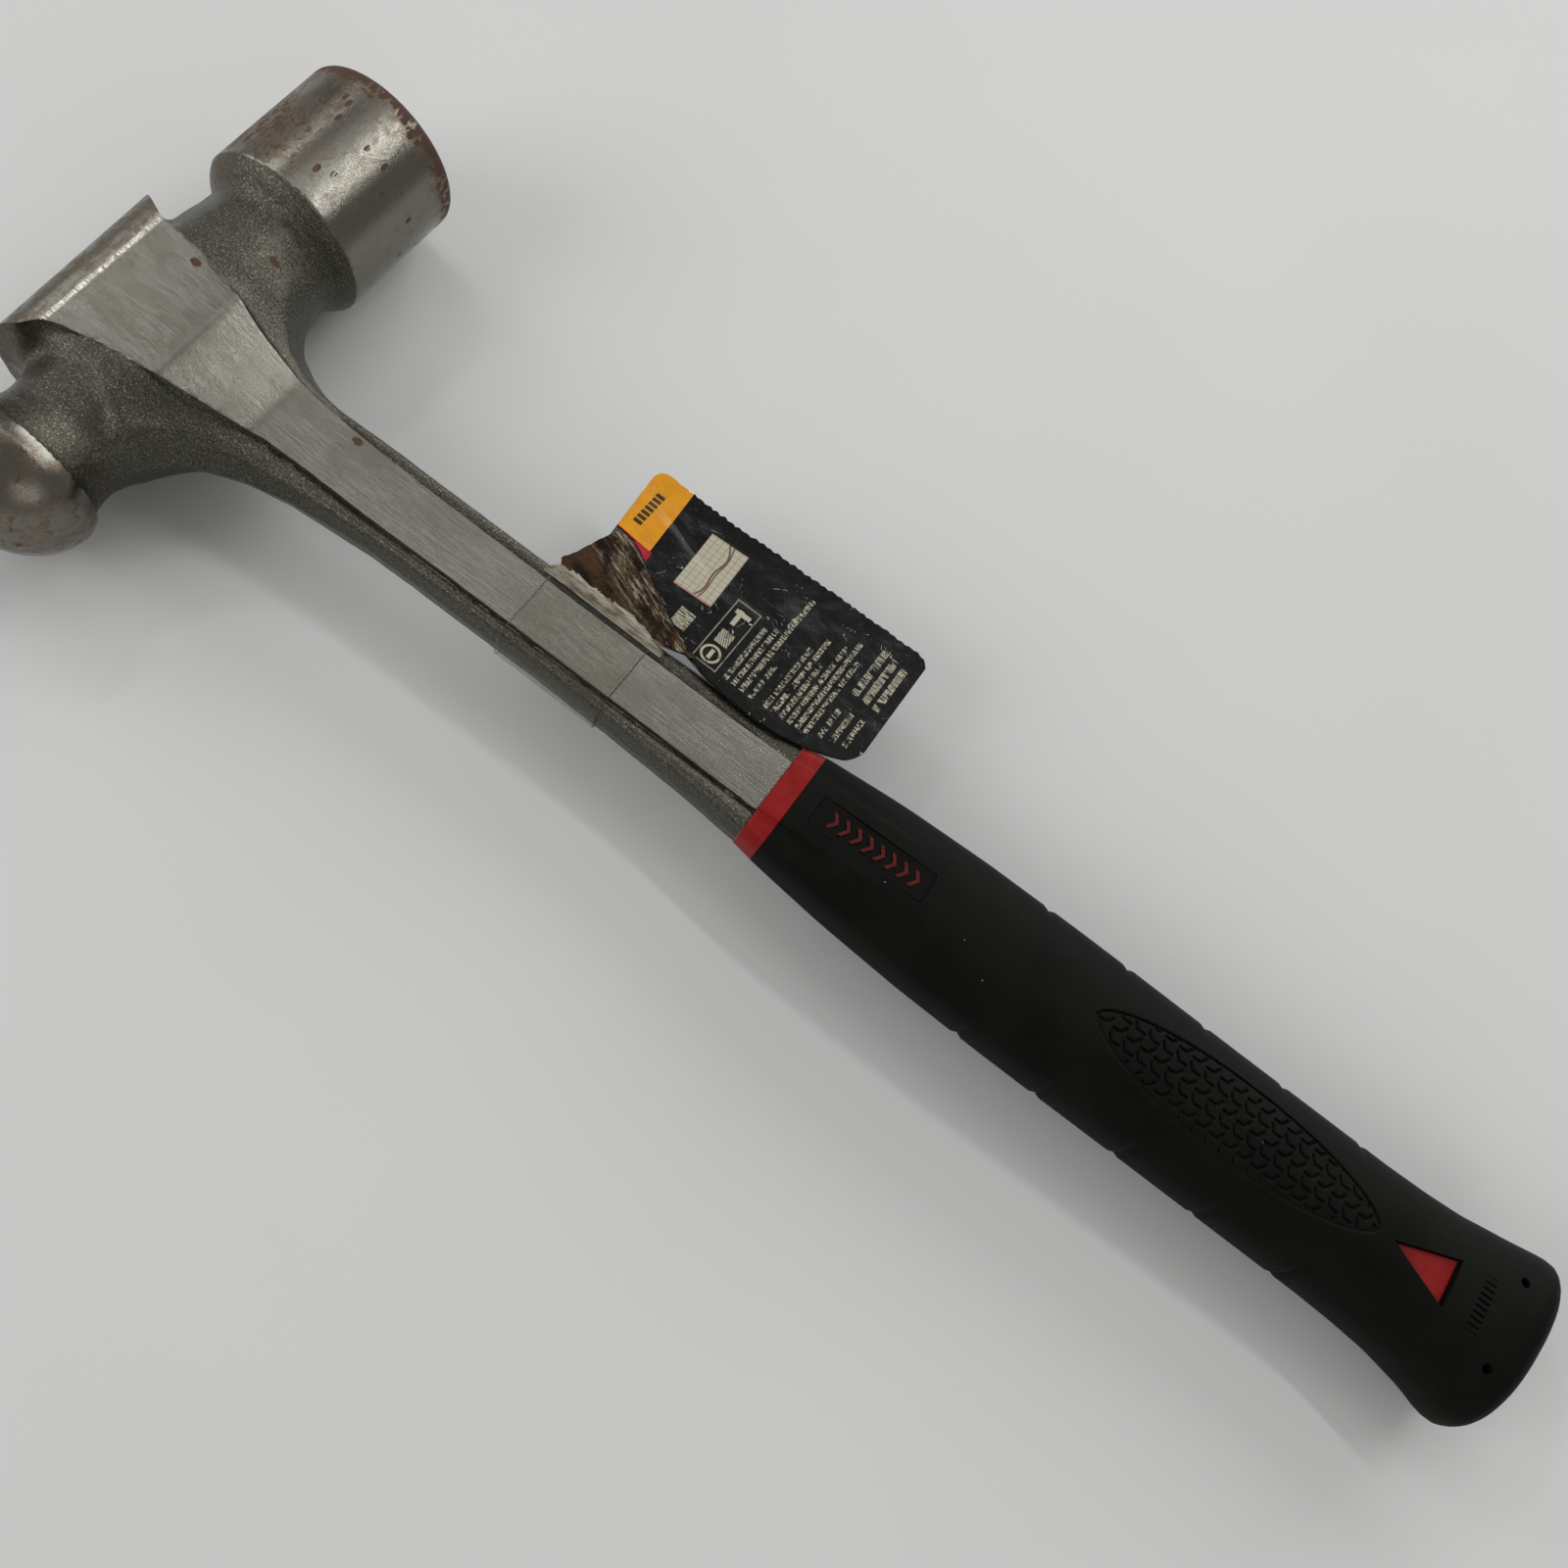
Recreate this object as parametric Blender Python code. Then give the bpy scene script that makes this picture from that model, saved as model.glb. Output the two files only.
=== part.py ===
"""A one-piece forged ball peen hammer with an overmoulded anti-vibration grip and a torn hang label.

The hammer lies on its side. Local axes, shared by every piece through the "hammer" empty:
+X from the head towards the butt of the handle, +Y towards the striking face, +Z up out of the cheek.
The local origin is where the head's axis (Y) crosses the handle's axis (X).
"""

import math

import bmesh
import bpy
import numpy as np

MM = 0.001
GAP = 0.3  # between pieces that touch, in millimetres as every length below

# Head: turned about the Y axis
POLL_RADIUS = 22.25
FACE_Y = 76.5
FACE_BEVEL = 3.0
POLL_SHOULDER_Y = 39.6
PEEN_RADIUS = 19.7
PEEN_DEPTH = 17.0
PEEN_EQUATOR_Y = -47.2
PEEN_RIM_Y = -43.6
PEEN_RIM_RADIUS = 18.4
PEEN_TIP_Y = PEEN_EQUATOR_Y - PEEN_DEPTH
POLL_WAIST = (29.0, 16.3)  # y and radius
PEEN_WAIST = (-35.0, 14.8)
HEAD_STEPS = 40

# Cheeks and shank
TOP_X = -23.5
CHEEK_Z = 18.0
TOP_ROUND = 9.0
SHANK_END_X = 176.0
TANG_HALF_WIDTH = 8.2
TANG_HALF_HEIGHT = 6.2
TANG_END_X = 373.0
FORK_START_X = 306.0
FORK_HALF_WIDTH = 2.6

# Grip
COLLAR_START_X = SHANK_END_X + GAP
GRIP_START_X = 182.6
BUTT_X = 394.0
BUTT_ROUND_X = 386.0
SLEEVE_WALL = 1.8
SLEEVE_END_X = TANG_END_X + GAP + SLEEVE_WALL
RING_POINTS = 28
NOTCH_FIRST_X = 244.5
NOTCH_PITCH = 22.9
NOTCH_COUNT = 5
NOTCH_HALF_LENGTH = 1.6
NOTCH_DEPTH = 0.7
WINDOW_APEX_X = 349.0
WINDOW_BASE_X = 365.5
WINDOW_HALF_WIDTH = 6.2
WINDOW_RECESS = 1.0
BADGE_X = (186.6, 218.0)
BADGE_HALF_WIDTH = 4.0
BADGE_DEPTH = 0.6
PIN_X = 381.0
PIN_Y = 11.2
PIN_RADIUS = 1.15
PIN_DEPTH = 4.0

# Label
BAND_X = (104.5, 134.0)
BAND_FILM = 0.25
HINGE_Y = 8.9
HINGE_Z = 7.9
FLAG_DROOP = 9.0  # degrees below level
FLAG_X = (107.0, 188.2)
FLAG_OUTER = 45.2
PLY = 0.22
PLY_GAP = 0.1

# Half-widths and heights along the handle, as (x, value) knots
RAIL_PLUS = [(-23.5, 22.4), (-20, 19.8), (-17.5, 18.3), (-12.7, 16.3), (-5.5, 14.6), (2.5, 12.7), (13.4, 10.6),
             (21.2, 9.3), (28, 8.6), (36, 7.9), (47, 7.5), (65, 7.7), (115, 7.8), (176, 8.4)]
RAIL_MINUS = [(-23.5, 27.3), (-19, 27.2), (-16, 26.2), (-13.2, 22.2), (-7.6, 19.7), (-1.2, 17.6), (4.9, 16.3),
              (10.5, 15.3), (17.2, 14.3), (23.8, 12.4), (30, 10.3), (36, 8.5), (47, 7.5), (65, 7.7), (176, 8.4)]
EDGE_PLUS = [(-23.5, 22.8), (-12.7, 17.6), (-5, 17.6), (0, 19), (4, 22), (8, 27), (16, 27), (18, 25), (19.5, 22.5),
             (21.4, 20.3), (25, 17.2), (31, 13.9), (36, 12.7), (43, 11.9), (65, 11.7), (115, 11.9), (136, 12.3),
             (159, 12.8), (176, 13.4)]
EDGE_MINUS = [(-23.5, 27.7), (-16, 26.8), (-12, 24), (-6, 22), (0, 23), (6, 28), (12, 32), (15, 34), (16.5, 32),
              (20, 27.4), (25.5, 21.9), (36, 17.2), (47, 14.4), (58, 12.9), (68, 12), (80, 11.8), (115, 11.9),
              (136, 12.3), (159, 12.8), (176, 13.4)]
BEAD_Z = [(-23.5, 6), (-14, 12), (0, 14.5), (6, 13), (10, 12), (14, 9.5), (18, 8.5), (24, 7.5), (31, 6.8), (43, 6),
          (65, 5.6), (150, 5.4), (176, 6.2)]
RAIL_Z = [(-14.5, CHEEK_Z), (10, CHEEK_Z), (14, 17.3), (33, 9.1), (38, 8.0), (47, 7.2), (70, 6.9), (160, 6.7),
          (176, 6.9)]
GRIP_HALF_WIDTH = [(176.3, 13.7), (182.6, 14.6), (205, 16.5), (228, 17.9), (251, 18.3), (344, 18.4), (355, 18.8),
                   (365, 19.5), (377, 21.6), (384, 23.3), (388, 23.9)]
GRIP_HALF_HEIGHT = [(176.3, 8.9), (182.6, 9.9), (200, 12), (228, 13.7), (265, 15), (300, 15.2), (336, 14.9),
                    (357, 14.6), (375, 15.6), (388, 16)]
GRIP_SQUARENESS = [(176.3, 3.4), (200, 3.2), (230, 2.6), (300, 2.3), (388, 2.4)]


def along(knots, x):
    """The value at x on the straight-sided curve through the knots."""
    return float(np.interp(x, [k[0] for k in knots], [k[1] for k in knots]))


# ---------------------------------------------------------------- helpers

def material(name, colour, roughness, metallic):
    made = bpy.data.materials.new(name)
    made.use_nodes = True
    shader = made.node_tree.nodes["Principled BSDF"]
    shader.inputs["Base Color"].default_value = (*colour, 1.0)
    shader.inputs["Roughness"].default_value = roughness
    shader.inputs["Metallic"].default_value = metallic
    return made


def object_from(bm, name, parent):
    bmesh.ops.remove_doubles(bm, verts=bm.verts, dist=1e-7)
    bmesh.ops.recalc_face_normals(bm, faces=bm.faces)
    mesh = bpy.data.meshes.new(name)
    bm.to_mesh(mesh)
    bm.free()
    made = bpy.data.objects.new(name, mesh)
    bpy.context.scene.collection.objects.link(made)
    made.parent = parent
    return made


def finish(obj, look, sharp_degrees=35.0):
    """Gives a piece its material and smooth shading with sharp edges kept."""
    obj.data.materials.clear()
    obj.data.materials.append(look)
    obj.data.shade_smooth()
    obj.data.set_sharp_from_angle(angle=math.radians(sharp_degrees))
    return obj


def loft(name, rings, parent):
    """A closed solid through rings of equal length, each a list of points in millimetres."""
    bm = bmesh.new()
    loops = [[bm.verts.new([c * MM for c in point]) for point in ring] for ring in rings]
    count = len(rings[0])
    for first, second in zip(loops, loops[1:]):
        for i in range(count):
            j = (i + 1) % count
            bm.faces.new((first[i], first[j], second[j], second[i]))
    bm.faces.new(loops[0])
    bm.faces.new(loops[-1])
    return object_from(bm, name, parent)


def plate(name, outline, bottom, top, parent):
    """An outline of (x, y) points extruded from z = bottom to z = top."""
    rings = [[(x, y, z) for x, y in outline] for z in (bottom, top)]
    return loft(name, rings, parent)


def cutter(obj):
    obj.hide_render = True
    obj.display_type = "WIRE"
    return obj


def combine(obj, other, operation):
    """Adds or cuts another solid with a Boolean that stays on the object."""
    cutter(other)
    modifier = obj.modifiers.new(f"{operation.lower()} {other.name}", "BOOLEAN")
    modifier.operation = operation
    modifier.object = other
    modifier.solver = "EXACT"


def arc(centre, radius, start, end, steps):
    """Points on a circle between two angles in degrees."""
    angles = np.radians(np.linspace(start, end, steps + 1))
    return [(centre[0] + radius * math.cos(a), centre[1] + radius * math.sin(a)) for a in angles]


def mirrored_ring(x, quarter_plus, quarter_minus):
    """A ring at x from the (y, z) points of its upper +Y and -Y quarters, each from the side to the middle."""
    upper = quarter_plus + [(-y, z) for y, z in reversed(quarter_minus)]
    lower = [(y, -z) for y, z in reversed(upper) if z > 0]
    return [(x, y, z) for y, z in upper + lower]


def box_ring(x, half_width, half_height, chamfer):
    quarter = [(half_width, half_height - chamfer), (half_width - chamfer, half_height)]
    return mirrored_ring(x, quarter, quarter)


def oval_ring(x, half_width, half_height, squareness, notch=0.0):
    """A ring between an oval and a rounded box. A notch pulls its sides in."""
    ring = []
    for i in range(RING_POINTS):
        angle = 2 * math.pi * i / RING_POINTS
        c, s = math.cos(angle), math.sin(angle)
        power = 2 / squareness
        side = half_width - notch * max(0.0, abs(c) * 2 - 1)
        ring.append((x, side * math.copysign(abs(c) ** power, c), half_height * math.copysign(abs(s) ** power, s)))
    return ring


# ---------------------------------------------------------------- forging

def head_profile():
    """(y, radius) points from the peen's tip to the striking face."""
    points = [(PEEN_TIP_Y, 0.0)]
    for angle in np.radians(np.linspace(12, 90, 9)):
        points.append((PEEN_EQUATOR_Y - PEEN_DEPTH * math.cos(angle), PEEN_RADIUS * math.sin(angle)))
    points += [(PEEN_RIM_Y - 1.0, 19.3), (PEEN_RIM_Y, PEEN_RIM_RADIUS), (-41.0, 16.4), PEEN_WAIST, (-30.0, 15.0)]
    points += [(-26.0, 15.6), (0.0, 16.0), (22.0, 15.8), (25.5, 16.0), POLL_WAIST, (33.0, 17.0), (36.5, 18.8)]
    points += [(POLL_SHOULDER_Y - 0.7, 21.3), (POLL_SHOULDER_Y, POLL_RADIUS)]
    edge_y, edge_radius = FACE_Y - FACE_BEVEL, POLL_RADIUS - FACE_BEVEL
    points += arc((edge_y, edge_radius), FACE_BEVEL, 90, 0, 4)
    return points + [(FACE_Y, 0.0)]


def turned_head(parent):
    bm = bmesh.new()
    verts = [bm.verts.new((0.0, y * MM, radius * MM)) for y, radius in head_profile()]
    edges = [bm.edges.new(pair) for pair in zip(verts, verts[1:])]
    bmesh.ops.spin(bm, geom=verts + edges, cent=(0, 0, 0), axis=(0, 1, 0), angle=2 * math.pi, steps=HEAD_STEPS)
    return object_from(bm, "forging", parent)


def handle_quarter(rail, edge, bead_z, rail_z):
    """The upper quarter of a handle section: side wall, bead along the edge, groove, and raised rail."""
    unit = min(1.0, (edge - rail) / 4)
    bead = min(bead_z, 0.8 * rail_z)
    groove = min(bead - 0.9 * unit, rail_z - 1.2) if edge - rail < 6 else rail_z - 1.2
    return [(edge, 0.0), (edge, 0.62 * bead), (edge - 0.9 * unit, 0.92 * bead), (edge - 1.9 * unit, bead),
            (edge - 2.9 * unit, 0.95 * bead), (rail + 0.25, groove), (rail, rail_z)]


def handle_stations():
    crown = [TOP_X + TOP_ROUND * (1 - math.cos(a)) for a in np.radians([0, 25, 45, 65, 90])]
    cheek = [-10.5, -5.5, 0, 4, 8, 12, 16, 18, 20, 22.5, 25.5, 29, 33, 38, 44, 51, 60, 72, 95, 115, 136, 159]
    return crown + cheek + [SHANK_END_X]


def rail_height(x):
    inside = TOP_X + TOP_ROUND - x
    if inside > 0:
        return CHEEK_Z - TOP_ROUND + math.sqrt(max(0.0, TOP_ROUND**2 - inside**2))
    return along(RAIL_Z, x)


def cheeks_and_shank(parent):
    rings = []
    for x in handle_stations():
        bead, top = along(BEAD_Z, x), rail_height(x)
        plus = handle_quarter(along(RAIL_PLUS, x), along(EDGE_PLUS, x), bead, top)
        minus = handle_quarter(along(RAIL_MINUS, x), along(EDGE_MINUS, x), bead, top)
        rings.append(mirrored_ring(x, plus, minus))
    return loft("cheeks_and_shank", rings, parent)


def tang(parent):
    rings = [box_ring(x, TANG_HALF_WIDTH, TANG_HALF_HEIGHT, 1.2) for x in (SHANK_END_X - 8, TANG_END_X)]
    return loft("tang", rings, parent)


def fork_slot(parent):
    outline = arc((FORK_START_X, 0), FORK_HALF_WIDTH, 90, 270, 8)
    outline += [(TANG_END_X + 5, -FORK_HALF_WIDTH), (TANG_END_X + 5, FORK_HALF_WIDTH)]
    return plate("fork_slot", outline, -10, 10, parent)


def forging(parent):
    steel = material("forged_steel", (0.33, 0.32, 0.29), 0.38, 1.0)
    head = turned_head(parent)
    combine(head, cheeks_and_shank(parent), "UNION")
    combine(head, tang(parent), "UNION")
    combine(head, fork_slot(parent), "DIFFERENCE")
    return finish(head, steel)


def fork_damper(parent):
    """The soft insert that fills the fork between its two tines."""
    half = FORK_HALF_WIDTH - GAP
    outline = arc((FORK_START_X + GAP, 0), half, 90, 270, 8)
    outline += [(TANG_END_X - 0.4, -half), (TANG_END_X - 0.4, half)]
    height = TANG_HALF_HEIGHT - 0.3
    damper = plate("fork_damper", outline, -height, height, parent)
    return finish(damper, material("damper_elastomer", (0.05, 0.05, 0.055), 0.7, 0.0))


# ---------------------------------------------------------------- grip

def grip_ring(x, notch=0.0):
    return oval_ring(x, along(GRIP_HALF_WIDTH, x), along(GRIP_HALF_HEIGHT, x), along(GRIP_SQUARENESS, x), notch)


def window_outline(inset):
    """The triangle that points at the head, with each side moved in by inset."""
    length = WINDOW_BASE_X - WINDOW_APEX_X
    slant = math.hypot(length, WINDOW_HALF_WIDTH)
    apex = WINDOW_APEX_X + inset * slant / WINDOW_HALF_WIDTH
    base = WINDOW_BASE_X - inset
    half = (base - apex) * WINDOW_HALF_WIDTH / length
    return [(apex, 0.0), (base, -half), (base, half)]


def sleeve_ring(x, offset):
    width = TANG_HALF_WIDTH + GAP + SLEEVE_WALL + offset
    height = TANG_HALF_HEIGHT + GAP + SLEEVE_WALL + offset
    return box_ring(x, width, height, 2.0)


def inner_sleeve(parent):
    """Hard red plastic over the tang: the collar at the front and the triangles that show through the grip."""
    back = GRIP_START_X - GAP
    collar = loft("inner_sleeve", [grip_ring(COLLAR_START_X), grip_ring(back)], parent)
    combine(collar, loft("sleeve_body", [sleeve_ring(x, 0) for x in (back - 2, SLEEVE_END_X)], parent), "UNION")
    boss_top = along(GRIP_HALF_HEIGHT, WINDOW_BASE_X) - WINDOW_RECESS
    for side, name in ((1, "boss_top"), (-1, "boss_bottom")):
        ends = sorted((side * (TANG_HALF_HEIGHT + 1.0), side * boss_top))
        combine(collar, plate(name, window_outline(GAP), *ends, parent), "UNION")
    cavity = [box_ring(x, TANG_HALF_WIDTH + GAP, TANG_HALF_HEIGHT + GAP, 1.2)
              for x in (COLLAR_START_X - 3, TANG_END_X + GAP)]
    combine(collar, loft("sleeve_cavity", cavity, parent), "DIFFERENCE")
    return finish(collar, material("red_nylon", (0.42, 0.03, 0.025), 0.42, 0.0))


def grip_stations():
    """(x, notch depth) along the grip up to where the butt starts to round off."""
    plain = [GRIP_START_X, 190, 198, 206, 216, 228, 240]
    tail = [342, 350, 358, 366, 374, 380, BUTT_ROUND_X]
    stations = [(x, 0.0) for x in plain + tail]
    for i in range(NOTCH_COUNT):
        x = NOTCH_FIRST_X + i * NOTCH_PITCH
        stations += [(x - NOTCH_HALF_LENGTH, 0.0), (x, NOTCH_DEPTH), (x + NOTCH_HALF_LENGTH, 0.0)]
    return sorted(stations)


def butt_rings():
    """The convex end: a flat dome whose sides stay full until near its tip."""
    rings = []
    for angle in np.radians([25, 45, 62, 76, 85]):
        x = BUTT_ROUND_X + (BUTT_X - BUTT_ROUND_X) * math.sin(angle)
        size = math.cos(angle) ** 0.45
        width = along(GRIP_HALF_WIDTH, BUTT_ROUND_X) * size
        rings.append(oval_ring(x, width, along(GRIP_HALF_HEIGHT, BUTT_ROUND_X) * size, 2.4))
    rings.append([(BUTT_X, y * 0.5, z * 0.5) for _, y, z in rings[-1]])
    return rings


def outer_grip(parent):
    rings = [grip_ring(x, notch) for x, notch in grip_stations()] + butt_rings()
    grip = loft("outer_grip", rings, parent)
    hollow = [sleeve_ring(x, GAP) for x in (GRIP_START_X - 3, SLEEVE_END_X + GAP)]
    combine(grip, loft("grip_hollow", hollow, parent), "DIFFERENCE")
    for side, name in ((1, "top"), (-1, "bottom")):
        ends = sorted((side * 8.0, side * 20.0))
        combine(grip, plate(f"window_{name}", window_outline(0), *ends, parent), "DIFFERENCE")
        combine(grip, badge_block(f"pocket_{name}", side, BADGE_DEPTH, 0.0, parent), "DIFFERENCE")
        for pin_side in (1, -1):
            hole = arc((PIN_X, pin_side * PIN_Y), PIN_RADIUS, 0, 330, 11)
            surface = along(GRIP_HALF_HEIGHT, PIN_X)
            ends = sorted((side * (surface - 2 - PIN_DEPTH), side * 20.0))
            combine(grip, plate(f"pin_hole_{name}_{pin_side}", hole, *ends, parent), "DIFFERENCE")
    return finish(grip, material("black_rubber", (0.018, 0.018, 0.016), 0.62, 0.0), 50)


def badge_block(name, side, depth, inset, parent):
    """A block on the slope of the grip's flat panel. Its outer face stands level with the panel."""
    rings = []
    for x in (BADGE_X[0] + inset, BADGE_X[1] - inset):
        surface = along(GRIP_HALF_HEIGHT, x)
        floor = surface - depth + inset
        top = surface - 0.05 if inset else surface + 2
        half = BADGE_HALF_WIDTH - inset
        ring = [(x, half, side * floor), (x, half, side * top), (x, -half, side * top), (x, -half, side * floor)]
        rings.append(ring)
    return loft(name, rings, parent)


def badge(name, side, parent):
    made = badge_block(name, side, 0.85, GAP, parent)
    return finish(made, material(f"{name}_plastic", (0.03, 0.03, 0.032), 0.5, 0.0))


# ---------------------------------------------------------------- label

def band_ring(x, offset):
    """The film's taut path round the rails and the outer corners of the beads."""
    quarter = [(12.05 + offset, 4.2), (11.1 + offset, 5.5 + offset), (8.1 + 0.5 * offset, 6.95 + offset)]
    return mirrored_ring(x, quarter, quarter)


def label_band(parent):
    start, end = BAND_X
    band = loft("label_band", [band_ring(x, GAP + BAND_FILM) for x in (start, end)], parent)
    bore = loft("band_bore", [band_ring(x, GAP) for x in (start - 2, end + 2)], parent)
    combine(band, bore, "DIFFERENCE")
    return finish(band, material("clear_film", (0.62, 0.60, 0.54), 0.12, 0.0))


def flag_far_edges():
    """(x, distance from the hinge) from the inner edge beside the collar, round the square end, to the left edge."""
    left, right = FLAG_X
    edges = [(147, 1.6), (154, 0.8), (162, 0.5), (170, 1.2), (177, 3.0), (182, 4.9)]
    edges += arc((right - 4.5, 10.0), 4.5, -50, 0, 3)
    edges += arc((right - 3.5, FLAG_OUTER - 3.5), 3.5, 0, 90, 4)
    edges += [(160, 44.0), (130, 42.2)]
    return edges + arc((left + 4, 37.4), 4.0, 90, 180, 4)


def label_back_ply(hinge):
    """The rear half of the folded label, whole, with the tab that joins it to the film band."""
    outline = [(BAND_X[0] + 1, 0.35), (BAND_X[1] - 1, 0.35), (141, 3.2)] + flag_far_edges() + [(FLAG_X[0], 12.0)]
    ply = plate("label_back_ply", outline, -PLY - PLY_GAP / 2, -PLY_GAP / 2, hinge)
    return finish(ply, material("rear_card", (0.05, 0.05, 0.05), 0.35, 0.0))


def label_front_ply(hinge):
    """The front half of the folded label, which is torn away from its inner corner next to the hinge."""
    torn_edge = [(FLAG_X[0], 21.0), (113, 20.2), (118.6, 17.4), (125, 13.2), (135, 7.6), (142, 4.4)]
    ply = plate("label_front_ply", torn_edge + flag_far_edges(), PLY_GAP / 2, PLY_GAP / 2 + PLY, hinge)
    return finish(ply, material("printed_card", (0.03, 0.03, 0.03), 0.3, 0.0))


def label_torn_ply(hinge):
    """The brown inner paper left in the torn corner, rolled towards the hinge."""
    outline = [(108.2, 4.4), (116, 3.2), (128, 2.2), (137, 2.6), (141, 3.4), (134.4, 7.0), (124.6, 12.5),
               (118, 16.8), (112.6, 19.3), (109, 18.4), (108.4, 11)]
    ply = plate("label_torn_ply", outline, PLY_GAP / 2, PLY_GAP / 2 + PLY, hinge)
    return finish(ply, material("torn_kraft_paper", (0.12, 0.07, 0.035), 0.85, 0.0))


# ---------------------------------------------------------------- assembly

def build():
    for old in list(bpy.data.objects):
        bpy.data.objects.remove(old, do_unlink=True)
    hammer = bpy.data.objects.new("hammer", None)
    bpy.context.scene.collection.objects.link(hammer)
    middle = ((TOP_X + BUTT_X) / 2, (PEEN_TIP_Y + FACE_Y) / 2)
    hammer.location = (-middle[0] * MM, -middle[1] * MM, POLL_RADIUS * MM)

    forging(hammer)
    fork_damper(hammer)
    inner_sleeve(hammer)
    outer_grip(hammer)
    badge("badge_front", 1, hammer)
    badge("badge_back", -1, hammer)
    label_band(hammer)

    hinge = bpy.data.objects.new("label_hinge", None)
    bpy.context.scene.collection.objects.link(hinge)
    hinge.parent = hammer
    hinge.location = (0.0, HINGE_Y * MM, HINGE_Z * MM)
    hinge.rotation_euler = (math.radians(-FLAG_DROOP), 0.0, 0.0)
    label_back_ply(hinge)
    label_front_ply(hinge)
    label_torn_ply(hinge)


build()
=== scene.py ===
"""Looks for the ball peen hammer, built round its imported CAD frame.

Lengths in this file are millimetres in the hammer's own axes, as in the CAD source: X from the head's
axis towards the butt, Y towards the striking face, Z up out of the cheek. to_world() turns them into the
frame's metres. Points on the hanging label are (x, s), where s runs out from its hinge along the card.
"""

import math

import bmesh
import bpy
import numpy as np
from mathutils import Matrix, Vector


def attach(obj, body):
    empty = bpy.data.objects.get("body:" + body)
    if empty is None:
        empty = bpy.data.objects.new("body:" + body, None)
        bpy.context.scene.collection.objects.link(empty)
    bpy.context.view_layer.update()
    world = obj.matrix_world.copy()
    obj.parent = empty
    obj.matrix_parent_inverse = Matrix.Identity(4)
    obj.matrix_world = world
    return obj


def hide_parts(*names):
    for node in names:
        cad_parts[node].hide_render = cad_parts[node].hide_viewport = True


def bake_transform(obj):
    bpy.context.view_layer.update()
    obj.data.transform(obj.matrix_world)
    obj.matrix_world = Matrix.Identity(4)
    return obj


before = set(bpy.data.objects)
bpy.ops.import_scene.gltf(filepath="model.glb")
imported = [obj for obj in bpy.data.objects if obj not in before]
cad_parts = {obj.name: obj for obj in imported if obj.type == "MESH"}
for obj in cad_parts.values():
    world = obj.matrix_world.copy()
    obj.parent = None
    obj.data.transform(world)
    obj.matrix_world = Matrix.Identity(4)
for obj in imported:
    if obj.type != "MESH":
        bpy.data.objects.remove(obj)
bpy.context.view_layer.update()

MM = 0.001
GAP = 0.3
HAMMER = "hammer"
FLAG = "label_flag"

# Head: turned about the Y axis
POLL_RADIUS = 22.25
FACE_Y = 76.5
FACE_ROUND = 2.0
POLL_SHOULDER_Y = 39.6
PEEN_RADIUS = 19.7
PEEN_DEPTH = 17.0
PEEN_EQUATOR_Y = -47.2
PEEN_RIM_Y = -43.6
PEEN_TIP_Y = PEEN_EQUATOR_Y - PEEN_DEPTH

# Cheeks, shank and tang
TOP_X = -23.5
CHEEK_Z = 18.0
CROWN_ROUND = 11.0
SHANK_END_X = 176.0
TANG_HALF_WIDTH = 8.2
TANG_HALF_HEIGHT = 6.2
TANG_END_X = 373.0
FORK_START_X = 306.0
FORK_HALF_WIDTH = 2.6

# Grip
COLLAR_START_X = SHANK_END_X + 0.05
GRIP_START_X = 181.8
BUTT_ROUND_X = 386.0
BUTT_TIP_X = 393.0
BUTT_X = 394.0
BUTT_SLANT = 0.095
BUTT_HALF_HEIGHT = 16.0
SLEEVE_WALL = 1.8
SLEEVE_END_X = TANG_END_X + GAP + SLEEVE_WALL
WINDOW_X = (349.0, 365.5)
WINDOW_HALF_WIDTH = 6.2
WINDOW_RECESS = 1.8
BADGE_X = (186.6, 218.0)
BADGE_HALF_WIDTH = 4.0
LEAF_X = (264.8, 344.8)
LEAF_HALF_WIDTH = 9.2
CUT_DEPTH = 0.6
CUT_TOP = 20.0
WINDOW_FLOOR = 8.6
PIN_PLACE = (381.0, 11.2)
PIN_RADIUS = 1.15
PIN_FLOOR = 9.8
MARK_X = 373.3
MARK_START_Y = -8.4
MARK_STEP = 1.53
MARK_COUNT = 12
MARK_SIZE = (0.6, 3.0, 0.3)
CHEVRON_COUNT = 8
CHEVRON_STEP = 3.2

# Label
BAND_X = (104.5, 134.0)
HINGE_Y = 8.9
HINGE_Z = 7.9
FLAG_DROOP = math.radians(9.0)
FLAG_X = (107.0, 188.2)
TORN_X = (104.6, 143.5)
WEB_X = (103.2, 137.0)
SCALLOP = 2.3
FILM_HALF_WIDTH = 11.9
FILM_HALF_HEIGHT = 7.09
PLY = 0.22
PLY_GAP = 0.1

# The hammer's axes start at the middle of the CAD box, with the poll resting on its base
ORIGIN = (-(TOP_X + BUTT_X) / 2, -(PEEN_TIP_Y + FACE_Y) / 2, POLL_RADIUS)


def to_world(points):
    """Millimetres in the hammer's axes to metres in the frame."""
    return (np.asarray(points, float) + np.array(ORIGIN)) * MM


# ---------------------------------------------------------------- camera, floor and light

def link(obj):
    bpy.context.scene.collection.objects.link(obj)
    return obj


def add_camera():
    """A hand-held view over the near side of the handle, 22 degrees off the vertical."""
    right = Vector((0.79618, 0.56035, 0.22826))
    down = Vector((0.60505, -0.73849, -0.29755))
    data = bpy.data.cameras.new("camera")
    data.sensor_width = 36.0
    data.lens = 36.19
    data.clip_start = 0.01
    camera = link(bpy.data.objects.new("camera", data))
    turn = Matrix((right, -down, -right.cross(down))).transposed().to_4x4()
    place = Vector(to_world((176.77, -134.40, 342.92)))
    camera.matrix_world = Matrix.Translation(place) @ turn
    bpy.context.scene.camera = camera


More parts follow.
